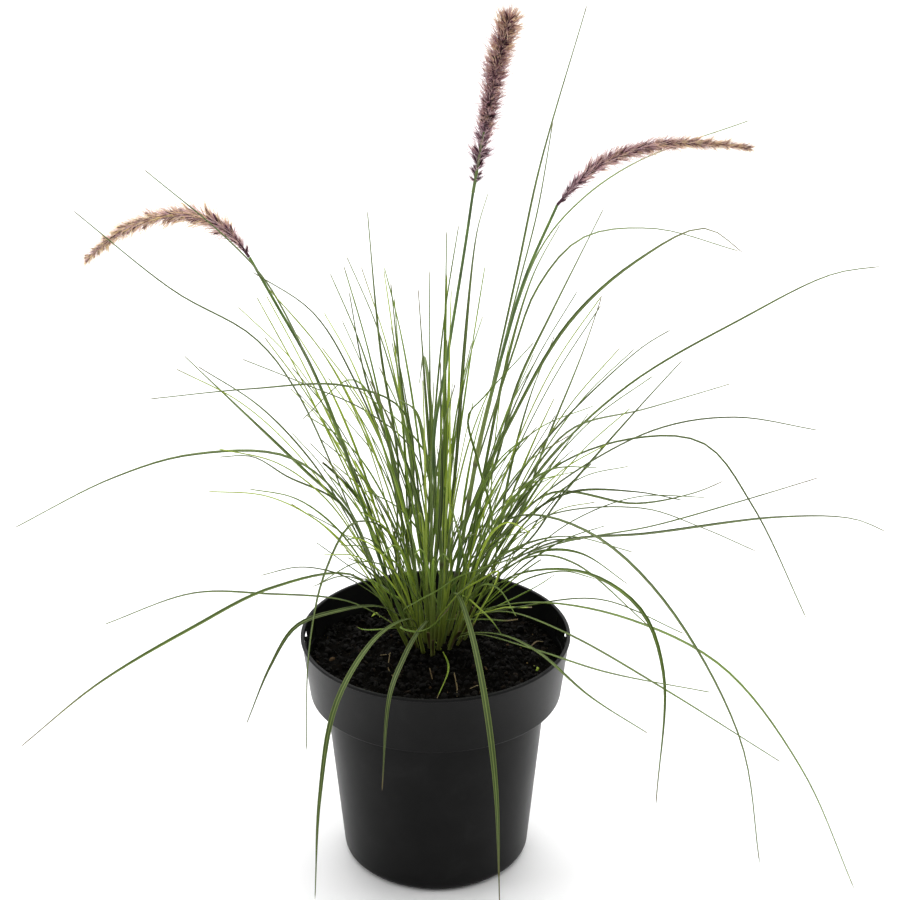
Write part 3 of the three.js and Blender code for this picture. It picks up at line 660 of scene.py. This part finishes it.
# A long leaf goes to the tiller that stands where its first bend, drawn back along the fan,
# meets the soil
for bearing, width, bends in LONG_LEAVES:
    reach, height = bends[0]
    rise = height - CROWN[2]
    foot = level(bearing) * (reach / (1 + FAN * rise))
    free = [one for one in seats if not one["culm"] and one["long"] < LONG_LEAVES_PER_TILLER]
    seat = min(free, key=lambda one: np.linalg.norm(one["foot"] - foot))
    leave = min(seat["sheath"], max(10, rise / 2))
    roots = [on_sheath(seat, max(3, leave - LEAF_ROOT)), on_sheath(seat, leave)]
    leaf = grow_leaf(seat["number"], roots, bearing, width, bends)
    if leaf:
        seat["long"] += 1
        seat["leaves"].append(leaf)


def arching(seat, leave, lean, length, droop):
    """The points of a leaf that leaves its sheath at a lean and bends over towards its tip, and
    the direction across it."""
    slope = math.hypot(lean[0], lean[1])
    outwards = lean / slope
    points = [on_sheath(seat, leave - LEAF_ROOT), on_sheath(seat, leave)]
    for step in range(4):
        tilt = math.atan(slope) + droop * ((step + 0.5) / 4) ** 1.7
        rise = outwards * math.sin(tilt) + [0, 0, math.cos(tilt)]
        points.append(points[-1] + rise * (length / 4))
    return points, np.array([-outwards[1], outwards[0], 0])


def fill_leaf(seat):
    """A shorter leaf that follows the fan, a little to one side. Its blade is a finer one."""
    leave = seat["sheath"] * draw(0.7, 1)
    side = (len(seat["leaves"]) + draw(0, 0.7)) / LEAVES_PER_TILLER * 2 * math.pi
    stray = draw(0.05, 0.14)
    lean = FAN * seat["foot"] + stray * np.array([math.cos(side), math.sin(side), 0])
    length = draw(*FILL_LENGTHS) * (1.1 - 0.3 * seat["ring"])
    points, across = arching(seat, leave, lean, length, draw(0.1, 0.9) * (0.4 + seat["ring"]))
    width = draw(*FILL_WIDTHS)
    twist = draw(-1.2, 1.2)
    line = sampled(points, lambda t: width * leaf_half(t))
    if not is_clear(seat["number"], line):
        return None
    grown.append((seat["number"], line))
    return {
        "points": points, "across": across, "width": FILL_FINENESS * width, "twist": twist,
        # Their tones run brighter and yellower, partly painted light through backlit blades
        "tones": (0.08, 0.86),
    }


for count in range(LEAVES_PER_TILLER):
    for seat in seats:
        if seat["culm"] or len(seat["leaves"]) > count:
            continue
        for attempt in range(14):
            leaf = fill_leaf(seat)
            if leaf:
                seat["leaves"].append(leaf)
                break


# Leafy tillers
# Each tiller is a flattened shoot of rolled leaf sheaths with up to four blades, and younger
# leaves as fine as threads among them. A blade is thin and folded along its midrib like a
# gutter, and it ends in a drawn-out dry tip.

SHEATH_DEPTH = 2.4
LEAF_RINGS = np.append(np.linspace(0, 0.985, 36), 1)
YOUNG_LEAVES = 2
YOUNG_LENGTHS = (90, 270)
YOUNG_WIDTHS = (1.2, 2.6)
LEAST_WIDTH = 0.42
CUT_SHARE = 0.12
WITHERED_SHARE = 0.12
HEART = 0.6
THICK_SIDE = 6


def unit(vectors):
    """A vector, or each row of an array, at a length of 1."""
    return vectors / np.linalg.norm(vectors, axis=-1, keepdims=True)


def strand(bm, line, across, section, sides=12, pointed=True, twist=0.0, **looks):
    """A closed strand along a line of points. section(t, turn) gives how far its skin lies
    across the strand and below its middle line, at shares of its length and turns round it.
    looks are what the material reads: numbers, or functions of the share of the length."""
    rows = len(line)
    bm.loops.layers.uv.verify()
    for name in looks:
        if name not in bm.verts.layers.float:
            bm.verts.layers.float.new(name)
    grid = bmesh.ops.create_grid(
        bm, x_segments=sides, y_segments=rows - 1, size=0.5, calc_uvs=True
    )["verts"]
    steps = np.linalg.norm(np.diff(line, axis=0), axis=1)
    t = (np.concatenate([[0], np.cumsum(steps)]) / steps.sum())[:, None]
    turn = np.linspace(0, math.tau, sides + 1)[None]
    ahead = np.concatenate([line[1:], line[-1:]])
    behind = np.concatenate([line[:1], line[:-1]])
    along = unit(ahead - behind)
    side = unit(across - along * (along @ across)[:, None])
    side = side * np.cos(twist * t) + np.cross(along, side) * np.sin(twist * t)
    down = np.cross(side, along)
    wide, deep = (part * np.ones((rows, sides + 1)) for part in section(t, turn))
    if pointed:
        wide[-1], deep[-1] = 0, 0
    skin = line[:, None] + side[:, None] * wide[..., None] + down[:, None] * deep[..., None]
    layers = {name: bm.verts.layers.float[name] for name in looks}
    values = {
        name: np.broadcast_to(look(t) if callable(look) else look, (rows, sides + 1)).ravel()
        for name, look in looks.items()
    }
    for number, (vertex, place) in enumerate(zip(grid, skin.reshape(-1, 3))):
        vertex.co = place
        for name, layer in layers.items():
            vertex[layer] = values[name][number]
    faces = list({face for vertex in grid for face in vertex.link_faces})
    bmesh.ops.remove_doubles(bm, verts=grid, dist=1e-5)
    faces = [face for face in faces if face.is_valid]
    edges = {edge for face in faces for edge in face.edges if edge.is_boundary}
    faces += bmesh.ops.holes_fill(bm, edges=list(edges), sides=0)["faces"]
    bmesh.ops.recalc_face_normals(bm, faces=faces)


def gutter(half, fold, thick):
    """The section of a blade: its width, folded down along the midrib, with thin edges."""

    def section(t, turn):
        wide = half(t) * np.cos(turn)
        keel = fold * half(t) * (0.5 - np.abs(np.cos(turn)))
        return wide, keel + thick * np.sin(turn)

    return section


def blade_half(width, least):
    """Half the width along a blade, which is narrow in the tuft and ends in a tip like a hair."""
    return lambda t: np.maximum(
        width * leaf_half(t) * (0.42 + 0.66 * np.minimum(1, t / 0.6)),
        least - 0.16 * np.maximum(0, (t - 0.88) / 0.12),
    )


def make_blade(bm, leaf, dice):
    """A leaf's blade, with a tone and a dry tip of its own. kept under 1 cuts it off there."""
    dryness = dice.uniform(0.01, 0.05)
    if dice.random() < WITHERED_SHARE:
        dryness *= 6
    bend, kept = Bend(leaf["points"]), leaf.get("kept", 1)
    half = blade_half(leaf["width"], leaf.get("least", 0.5))
    if kept < 1:
        dryness = 3 / (bend.length * kept)
    strand(
        bm, bend.along(kept * LEAF_RINGS), leaf["across"],
        gutter(lambda t: half(kept * t), dice.uniform(0.35, 0.65), 0.32),
        pointed=kept == 1, twist=leaf["twist"],
        tone=dice.uniform(*leaf.get("tones", (0, 0.45))),
        # Long leaves draw more grey: partly a duller tone of their own, partly painted shade
        grey=dice.uniform(0, 1) ** 2 if "tones" in leaf else dice.uniform(0.3, 1.4),
        pale=lambda t: 0.5 * np.maximum(0, 1 - t * bend.length / 45),
        dry=lambda t: np.clip((t - 1 + dryness) / dryness, 0, 1) ** 1.4,
    )


def make_sheath(bm, seat, dice):
    """The rolled sheaths: an oval shoot that steps in a little above each blade's base."""
    base = on_sheath(seat, -ROOT_DEPTH)
    top = on_sheath(seat, seat["sheath"])
    line = base + (top - base) * np.linspace(0, 1, 15)[:, None]
    across = unit(np.array([-seat["foot"][1], seat["foot"][0], 0.0]))
    ridge, low_dry = dice.uniform(0, math.tau), dice.uniform(0.25, 0.5)

    def section(t, turn):
        swell = 1.02 - 0.4 * t + 0.05 * np.sin(turn * 3 + ridge + 5 * t)
        return SHEATH_WIDTH / 2 * swell * np.cos(turn), SHEATH_DEPTH / 2 * swell * np.sin(turn)

    strand(
        bm, line, across, section, sides=14, pointed=False,
        tone=dice.uniform(0.15, 0.9), grey=dice.uniform(0, 0.4), pale=lambda t: 0.9 - 0.5 * t,
        dry=lambda t: 0.6 * np.maximum(0, 1 - t / low_dry),
    )


def young_leaf(seat, dice):
    """A young leaf, narrow and often rolled, that strays across the others. A few were cut."""
    for attempt in range(30):
        leave = seat["sheath"] * dice.uniform(0.3, 1)
        turn = dice.uniform(0, math.tau)
        stray = dice.uniform(0.05, 0.5) * np.array([math.cos(turn), math.sin(turn), 0])
        length = dice.uniform(*YOUNG_LENGTHS) * (0.5 + 0.4 * seat["ring"])
        droop = dice.uniform(0.1, 1.2) * (0.3 + seat["ring"])
        points, across = arching(seat, leave, FAN * seat["foot"] + stray, length, droop)
        line = Bend(points).along(np.linspace(0, 1, 40))
        low, high = np.array(solid_box) * 1000
        if (line > low).all() and (line < high).all() and over_pot(line):
            return {
                "points": points, "across": across, "width": dice.uniform(*YOUNG_WIDTHS),
                "twist": dice.uniform(-3, 3), "tones": (0.05, 0.7), "least": LEAST_WIDTH,
                "kept": dice.uniform(0.35, 0.75) if dice.random() < CUT_SHARE else 1,
            }
    return None


# A living leaf: satin, with fine veins along it, a paler midrib and edges, and a greener or
# yellower tone of its own. The bright yellow tones of the inner fill leaves are partly painted
# light through backlit blades, and the grey on the long leaves is partly painted shade. Sheaths
# are pale, and old tips dry to straw.
leaf_green, tree, shader = material(
    "satin_grass_leaf", {"IOR": 1.45, "Roughness": 0.5, "Specular IOR Level": 0.22}
)
tone, grey, pale, dry = (
    add(tree, "Attribute", out="Fac", attribute_name=name)
    for name in ("tone", "grey", "pale", "dry")
)
place = add(tree, "TexCoord", out="Object")
blotch = add(tree, "TexNoise", {"Vector": place, "Scale": 55.0, "Detail": 4.0})
uneven = add(tree, "Math", {0: blotch, 1: 0.5, 2: tone}, operation="MULTIPLY_ADD")
# Its bright yellow end, which mostly the fill leaves reach, is partly painted backlight
green = [(0.25, "#263711"), (0.5, "#42591a"), (0.8, "#688621"), (1.0, "#a4ba3a")]
green = add(tree, "ValToRGB", {"Fac": uneven}, stops=green)
# The grey mix is partly painted shade on the long leaves
grey = add(tree, "Math", {0: grey, 1: 0.3}, operation="MULTIPLY")
turn = add(tree, "SeparateXYZ", {0: add(tree, "TexCoord", out="UV")})
angle = add(tree, "Math", {0: turn, 1: math.tau}, operation="MULTIPLY")
wide = add(tree, "Math", {0: angle}, operation="COSINE")
reach = add(tree, "Math", {0: wide}, operation="ABSOLUTE")
lines = [(0.0, "#c8c8c8"), (0.24, "#282828"), (0.76, "#000000"), (0.96, "#a8a8a8")]
lines = add(tree, "ValToRGB", {"Fac": reach}, stops=lines)
for share, colour in ((grey, "#5b6446"), (lines, "#a3b364"), (pale, "#76833a")):
    green = add(tree, "Mix", {0: share, 6: green, 7: linear(colour)}, 2, data_type="RGBA")
straw = [(0.35, "#5e4c30"), (0.6, "#7c6f4f"), (0.75, "#9c9275")]
straw = add(tree, "ValToRGB", {"Fac": blotch}, stops=straw)
colour = add(tree, "Mix", {0: dry, 6: green, 7: straw}, 2, data_type="RGBA")
veins = add(tree, "Math", {0: wide, 1: 26.0}, operation="MULTIPLY")
veins = add(tree, "Math", {0: veins}, operation="SINE")
bump = add(tree, "Bump", {"Height": veins, "Strength": 0.25, "Distance": 0.0001})
set_inputs(shader, {"Base Color": colour, "Normal": bump})

# One young leaf fewer stands in the heart of the tuft, and twice as many on its right
dice = np.random.default_rng(11)
for number, seat in enumerate([seat for seat in seats if not seat["culm"]], 1):
    bm = bmesh.new()
    make_sheath(bm, seat, dice)
    count = YOUNG_LEAVES
    if seat["ring"] < HEART:
        count -= 1
    if seat["foot"][0] > THICK_SIDE:
        count *= 2
    young = [young_leaf(seat, dice) for leaf in range(count)]
    for leaf in filter(None, seat["leaves"] + young):
        make_blade(bm, leaf, dice)
    name = f"tiller_{number:02d}"
    finish(f"{name}_leaves", bm, leaf_green, "grass_leaf", name, sharp=60)


# Strays and litter
# Leaves that bent or were cut off short beside the tuft, old sheaths that dried brown round its
# foot, and bits of straw and root that lie on the peat.

OLD_SHEATHS = 14
OUTER = 0.55

strays = bmesh.new()
dice = np.random.default_rng(31)


def stray_leaf(points, width, tone, tip_dry, kept=1.0, grey=0.2):
    """A leaf through points. Its last tip_dry millimetres have dried, and kept under 1 cuts it."""
    bend = Bend(points)
    half = blade_half(width, LEAST_WIDTH)
    across = unit(np.cross(np.array(points[-1], float) - points[0], [0.0, 0.0, 1.0]))
    share = max(0.02, tip_dry / bend.length)
    strand(
        strays, bend.along(LEAF_RINGS), across,
        gutter(lambda t: half(kept * t), dice.uniform(0.3, 0.6), 0.22), pointed=kept == 1,
        twist=dice.uniform(-0.6, 0.6), tone=tone, grey=grey, pale=0.0,
        dry=lambda t: np.clip((t - 1 + share) / share * 2, 0, 1),
    )


def from_tuft(points):
    """The points of a leaf that starts in the shoot nearest to the first of them."""
    height = points[0][2] - CROWN[2]
    nearest = min(seats, key=lambda one: np.linalg.norm(on_sheath(one, height) - points[0]))
    return [on_sheath(nearest, height - 6), *points]


for points, width, tone, tip_dry, *kept in (
    # Growing leaves: one across the front, a curled one, a folded one, and others bent over
    ([(-22, -18, 200), (-11, -32, 216), (2, -42, 229), (16, -49, 243), (27, -52, 249),
      (42, -52, 255), (56, -48, 255)], 2.6, 0.35, 5),
    ([(-24, -18, 188), (-20, -28, 191), (-12, -36, 194), (-4, -42, 200), (3, -44, 208),
      (10, -44, 217)], 2.6, 0.4, 9),
    ([(1, -8, 186), (10, -20, 207), (19, -30, 223), (31, -34, 233), (43, -36, 241),
      (39, -37, 227), (33, -37, 215), (25, -36, 197)], 2.6, 0.75, 4),
    ([(19, -8, 207), (24, -16, 208), (32, -20, 202), (39, -20, 194), (47, -16, 179)], 2.6, 0.6, 4),
    ([(-24, 14, 192), (-32, 18, 195), (-45, 24, 202), (-56, 27, 203), (-59, 28, 206)],
     2.4, 0.55, 14),
    ([(42, 40, 172), (61, 46, 179), (76, 50, 186), (86, 53, 192)], 1.6, 0.5, 5),
    ([(30, 34, 185), (46, 44, 190), (60, 50, 193), (68, 52, 197)], 2.0, 0.6, 3),
    # Leaves that were cut off, with a brown or a bleached end
    ([(24, 12, 179), (38, 10, 185), (49, 10, 188), (60, 10, 188), (68, 10, 188)],
     3.0, 0.75, 4, 0.55),
    ([(8, 4, 181), (24, 0, 184), (38, 0, 184), (49, 0, 183), (58, 0, 184)], 2.6, 0.3, 13, 0.55),
):
    stray_leaf(from_tuft(points), width, tone, tip_dry, *kept)

# Fallen leaves, straws and bits of root
for points, lift, width, tone, tip_dry in (
    ([(0, 11), (7, -7), (9, -26), (1, -59)], 1.8, 1.5, 0.6, 8),
    ([(-47, 57), (-44, 62), (-41, 58)], 1.5, 2.6, 0.9, 1),
    ([(70, -16), (72, -13), (69, -10)], 1.2, 2.2, 0.7, 1),
    ([(-28, 36), (-51, 34), (-58, 42)], 2.4, 2.2, 0.5, 4),
    ([(67, 12), (72, 18), (77, 19)], 3.2, 2.0, 0.5, 40),
    ([(13, -28), (15, -42), (15, -55)], 0.8, 1.2, 0.5, 60),
    ([(-4, -21), (-2, -32)], 0.8, 1.2, 0.5, 60),
    ([(-39, -1), (-34, -2), (-29, -1)], 0.8, 1.1, 0.1, 60),
    ([(-32, -1), (-33, -10), (-33, -19), (-29, -32)], 0.8, 1.0, 0.1, 60),
    ([(24, -44), (31, -40), (36, -43)], 0.8, 1.3, 0.1, 60),
):
    on_peat = [(x, y, soil_skin(x, y) + lift) for x, y in points]
    stray_leaf(on_peat, width, tone, tip_dry)

# Old sheaths lean out from the feet of the outer shoots
outer = [seat for seat in seats if seat["ring"] > OUTER]
for number in range(OLD_SHEATHS):
    seat = outer[number * 5 % len(outer)]
    out = unit(seat["foot"])
    low, high = dice.uniform(-3, 4), dice.uniform(12, 30)
    points = [on_sheath(seat, low) + out * 1.3, on_sheath(seat, (low + high) / 2) + out * 1.5]
    points.append(on_sheath(seat, high) + out * dice.uniform(2, 6))
    stray_leaf(points, dice.uniform(2.2, 3.6), 0.3, 80, 0.55, grey=0)
finish("strays_and_litter", strays, leaf_green, "grass_leaf", sharp=60)


# Flowering stems
# Round, smooth green stems that rise above the tuft, jointed where a leaf grows from them. The
# leaf's sheath wraps the stem below its blade.

CULM_WIDTH = 2.8
FIRST_JOINT = 0.2  # joints and sheaths are shares of the stem's length
JOINT_SPREAD = 0.006
LEAF_SHEATH = 0.22
BARE = 0.36  # the share of the centre head where its stem shows in front
BACK = np.array([0.0, 1.0, 0.0])


def round_section(radius, depth=None):
    """A round section, or an oval one that is as deep as a second function says."""
    depth = depth or radius
    return lambda t, turn: (radius(t) * np.cos(turn), depth(t) * np.sin(turn))


# Smooth and a little glossy, with blotches of 1 to 2 cm. It is pale in the soil and under the
# sheaths, and purple at the joints
culm_green, tree, shader = material("smooth_grass_stem", {"IOR": 1.45, "Roughness": 0.42})
pale, dark = (
    add(tree, "Attribute", out="Fac", attribute_name=name) for name in ("pale", "dark")
)
place = add(tree, "TexCoord", out="Object")
blotch = add(tree, "TexNoise", {"Vector": place, "Scale": 60.0, "Detail": 4.0})
green = [(0.3, "#3c5322"), (0.55, "#56722f"), (0.75, "#6f8a3c")]
green = add(tree, "ValToRGB", {"Fac": blotch}, stops=green)
for share, colour in ((pale, "#8d9c58"), (dark, "#4a2d33")):
    green = add(tree, "Mix", {0: share, 6: green, 7: linear(colour)}, 2, data_type="RGBA")
set_inputs(shader, {"Base Color": green})

for side, number in CULM_SEATS.items():
    culm, bm = CULMS[side], bmesh.new()
    sheaths = [(leaf[0] - LEAF_SHEATH, leaf[0]) for leaf in culm["leaves"]]
    joints = [FIRST_JOINT] + [low for low, high in sheaths]

    def at_joints(t, most):
        return sum(most * np.exp(-(((t - joint) / JOINT_SPREAD) ** 2)) for joint in joints)

    def in_sheaths(t, most):
        return sum(most * ((t > low) & (t < high)) for low, high in sheaths)

    def radius(t):
        return CULM_WIDTH / 2 * (1 - 0.3 * t) + at_joints(t, 0.28) + in_sheaths(t, 0.18)

    strand(
        bm, culm["bend"].along(np.linspace(0, 1, 140)), BACK, round_section(radius), sides=10,
        pointed=False, pale=lambda t: np.maximum(0.8 * (1 - t / 0.15), 0) + in_sheaths(t, 0.35),
        dark=lambda t: at_joints(t, 0.7),
    )
    if side == "centre":
        strand(
            bm, Bend(culm["head"]).along(np.linspace(0, BARE, 16)), BACK,
            round_section(lambda t: 1.2 - 0.5 * t), sides=10, pale=0.2, dark=0.0,
        )
    finish(f"culm_{side}_stem", bm, culm_green, "grass_stem", sharp=60)
    bm = bmesh.new()
    make_sheath(bm, seats[number], dice)
    for leaf in filter(None, culm["grown"]):
        make_blade(bm, leaf, dice)
    finish(f"culm_{side}_leaves", bm, leaf_green, "grass_leaf", f"culm_{side}", sharp=60)


# Flower heads
# A head is a spiral of lance-shaped spikelets on a thin axis. Round the foot of each one stands
# a tuft of fine bristles, mauve at their roots and straw-coloured at their tips.

KINDS = 8
AXIS_RADIUS = 1.1
TURN_ASTRAY = 0.3

# Each head's spikelets, the share of its length where they end, how full it is at its tip, how it
# swells on the way there, and its spikelets' size, lightness, rosiness and lean in radians
HEADS = {
    "centre": {
        "spikelets": 170, "end": 0.93, "tip": 0.9, "swell": 0.4, "size": 1.25,
        "light": 0.9, "rosy": 0.0, "lean": (0.4, 0.95),
    },
    "right": {
        "spikelets": 125, "end": 0.98, "tip": 0.5, "swell": -0.1, "size": 1.25,
        "light": 1.12, "rosy": 0.15, "lean": (0.2, 0.65),
    },
    "left": {
        "spikelets": 115, "end": 0.97, "tip": 0.55, "swell": -0.2, "size": 1.35,
        "light": 1.38, "rosy": 0.9, "lean": (0.35, 0.9),
    },
}


def bristle(bm, dice, spread, length, thick, pink):
    """A fine bristle from a spikelet's foot, leaning out by an angle in degrees."""
    turn = dice.uniform(0, math.tau)
    out = np.array([math.cos(turn), math.sin(turn), 0])
    lean = math.radians(spread)
    t = np.linspace(0, 1, 4)[:, None]
    bow = dice.uniform(-0.16, 0.02) * length
    line = out * (0.4 + length * math.sin(lean) * t + bow * t**2)
    line = line + [0, 0, 1] * (length * math.cos(lean) * t)
    strand(
        bm, line, np.cross(out, [0, 0, 1.0]), round_section(lambda t: thick * (1 - 0.6 * t)),
        sides=3, tone=lambda t: 0.28 + 0.6 * t, pink=pink,
    )


def make_spikelet(dice):
    """Two spikelets side by side with their bristles, upright, with their foot at the origin: many
    bristles keep close and end in a point like a wet brush, and some stand off."""
    bm = bmesh.new()
    for side in (-1, 1):
        middle = np.array([[side * h * 0.12, 0.2 * side, 0.8 + h] for h in np.linspace(0, 5.6, 6)])
        strand(
            bm, middle, np.array([1.0, 0.0, 0.0]),
            round_section(
                lambda t: 0.15 + 0.7 * np.sin(math.pi * t**0.75),
                lambda t: 0.15 + 0.6 * np.sin(math.pi * t**0.75),
            ),
            sides=6, tone=lambda t: 0.02 + 0.25 * t, pink=0.0,
        )
    for count, spread, length, thick, pink in (
        (9, (2, 14), (7.5, 12.5), 0.2, (0, 0.4)),
        (9, (14, 40), (7, 13), 0.14, (0.3, 1)),
        (3, (15, 50), (12, 16), 0.15, (0, 0.5)),
    ):
        for number in range(count):
            drawn = dice.uniform(*spread), dice.uniform(*length), thick, dice.uniform(*pink)
            bristle(bm, dice, *drawn)
    return to_mesh("spikelet", bm)


def fullness(t, tip, swell):
    """How full the head is: it swells from a narrow neck and slims towards its tip."""
    return min(1, 0.55 + 0.45 * t / 0.15) * (1 - (1 - tip) * t**2) * (1 + swell * (t - 0.5))


# Papery spikelets and silky bristles: dull purple-brown in the depth of the head, mauve where
# the bristles leave it, and straw gold at the tips
head_purple, tree, shader = material("silky_purple_bristles", {"IOR": 1.45, "Roughness": 0.62})
tone, shade, pink, blush = (
    add(tree, "Attribute", out="Fac", attribute_name=name)
    for name in ("tone", "shade", "pink", "blush")
)
hue = add(tree, "Math", {0: tone, 1: shade}, operation="MULTIPLY")
dusk = [(0.05, "#29101d"), (0.3, "#633849"), (0.5, "#a37480"), (0.75, "#d6b498"), (1.0, "#f2dc94")]
dusk = add(tree, "ValToRGB", {"Fac": hue}, stops=dusk)
pink = add(tree, "Math", {0: pink, 1: blush}, operation="MULTIPLY")
colour = add(tree, "Mix", {0: pink, 6: dusk, 7: linear("#f5d6dc")}, 2, data_type="RGBA")
set_inputs(shader, {"Base Color": colour})

dice = np.random.default_rng(23)
kinds = [make_spikelet(dice) for kind in range(KINDS)]
for side, head in HEADS.items():
    bend, bm = Bend(CULMS[side]["head"]), bmesh.new()
    bare = BARE if side == "centre" else 0
    strand(
        bm, bend.along(np.linspace(max(0.002, bare - 0.02), 0.97, 30)), BACK,
        round_section(lambda t: AXIS_RADIUS * (1 - 0.6 * t)), sides=8,
        tone=0.15, shade=1.0, pink=0.0, blush=0.0,
    )
    for number in range(head["spikelets"]):
        share = 0.01 + (head["end"] - 0.01) * ((number + 0.5) / head["spikelets"]) ** 0.82
        root, ahead = bend.along([share, share + 0.01])
        along = unit(ahead - root)
        square = unit(np.cross(BACK, along))
        turn = number * GOLDEN_ANGLE + dice.uniform(-TURN_ASTRAY, TURN_ASTRAY)
        out = square * math.cos(turn) + np.cross(along, square) * math.sin(turn)
        if share < bare and (out[1] < -0.4 or dice.random() < 0.1):
            continue
        lean = dice.uniform(*head["lean"])
        up = along * math.cos(lean) + out * math.sin(lean)
        flat = unit(np.cross(up, along))
        axes = Matrix(np.column_stack([flat, np.cross(up, flat), up]).tolist()).to_4x4()
        full = fullness(share, head["tip"], head["swell"])
        size = head["size"] * full * dice.uniform(0.85, 1.15)
        place = Matrix.Translation(root) @ axes @ Matrix.Scale(size, 4)
        shade = head["light"] + 0.4 * (share - 0.5) - 0.1 * out[2] + dice.uniform(-0.2, 0.2)
        if share < 0.12:
            shade -= 0.2
        blush = min(1, max(0, 1.1 + head["rosy"] - 0.8 * share - 0.35 * out[2]))
        lay(bm, kinds[number % KINDS], place, shade=shade, blush=blush)
    finish(f"head_{side}_bristles", bm, head_purple, "flower_head", f"head_{side}", sharp=75)


# Floor, light and camera
# A plain pale floor under soft studio light: a bright surround that is darker on the camera's
# side, so that the pot's black front stays deep while its sides catch the light.

FLOOR_HALF = 9.0
CAMERA_PLACE = (0.0102, -1.3693, 0.9268)
CAMERA_TILT = 65.9
CAMERA_LENS = 88.4

floor_bm = bmesh.new()
bmesh.ops.create_grid(floor_bm, x_segments=1, y_segments=1, size=FLOOR_HALF)
floor = to_scene("floor", to_mesh("floor", floor_bm))
paint = material("white_studio_floor", {"Base Color": linear("#fafafa"), "Roughness": 0.9})[0]
floor.data.materials.append(paint)

world = bpy.data.worlds.new("soft_surround")
bpy.context.scene.world = world
world.use_nodes = True
tree = world.node_tree
way = add(tree, "TexCoord", out="Generated")
way = add(tree, "SeparateXYZ", {0: way}).node.outputs
bright = add(tree, "Math", {0: way["Z"], 1: 1.0, 2: way["Y"]}, operation="MULTIPLY_ADD")
bright = add(tree, "MapRange", {0: bright, 1: -0.6, 2: 0.6, 3: 0.1, 4: 0.9})
set_inputs(tree.nodes["Background"], {"Color": linear("#ffffff"), "Strength": bright})


def softbox(name, place, target, size, power):
    """A soft rectangular light that faces a target. Places and sizes are in metres."""
    light = bpy.data.lights.new(name, "AREA")
    light.shape = "RECTANGLE"
    light.size, light.size_y = size
    light.energy = power
    box = to_scene(name, light)
    box.location = place
    box.rotation_euler = (Vector(target) - Vector(place)).to_track_quat("-Z", "Y").to_euler()


softbox("overhead_softbox", (0.1, 0.4, 2.3), (0, 0.1, 0), (2.2, 2.0), 28)
softbox("back_softbox", (0, 3.2, 2.8), (0, 2.4, 0), (5.0, 2.5), 110)
softbox("left_softbox", (-1.7, -0.2, 0.9), (0, 0, 0.3), (0.8, 1.4), 9)
softbox("right_softbox", (1.7, 0.0, 0.9), (0, 0, 0.3), (0.8, 1.4), 7)

camera = to_scene("camera", bpy.data.cameras.new("camera"))
camera.data.lens = CAMERA_LENS
camera.location = CAMERA_PLACE
camera.rotation_euler = (math.radians(CAMERA_TILT), 0, 0)
bpy.context.scene.camera = camera
bpy.context.scene.view_settings.view_transform = "Standard"
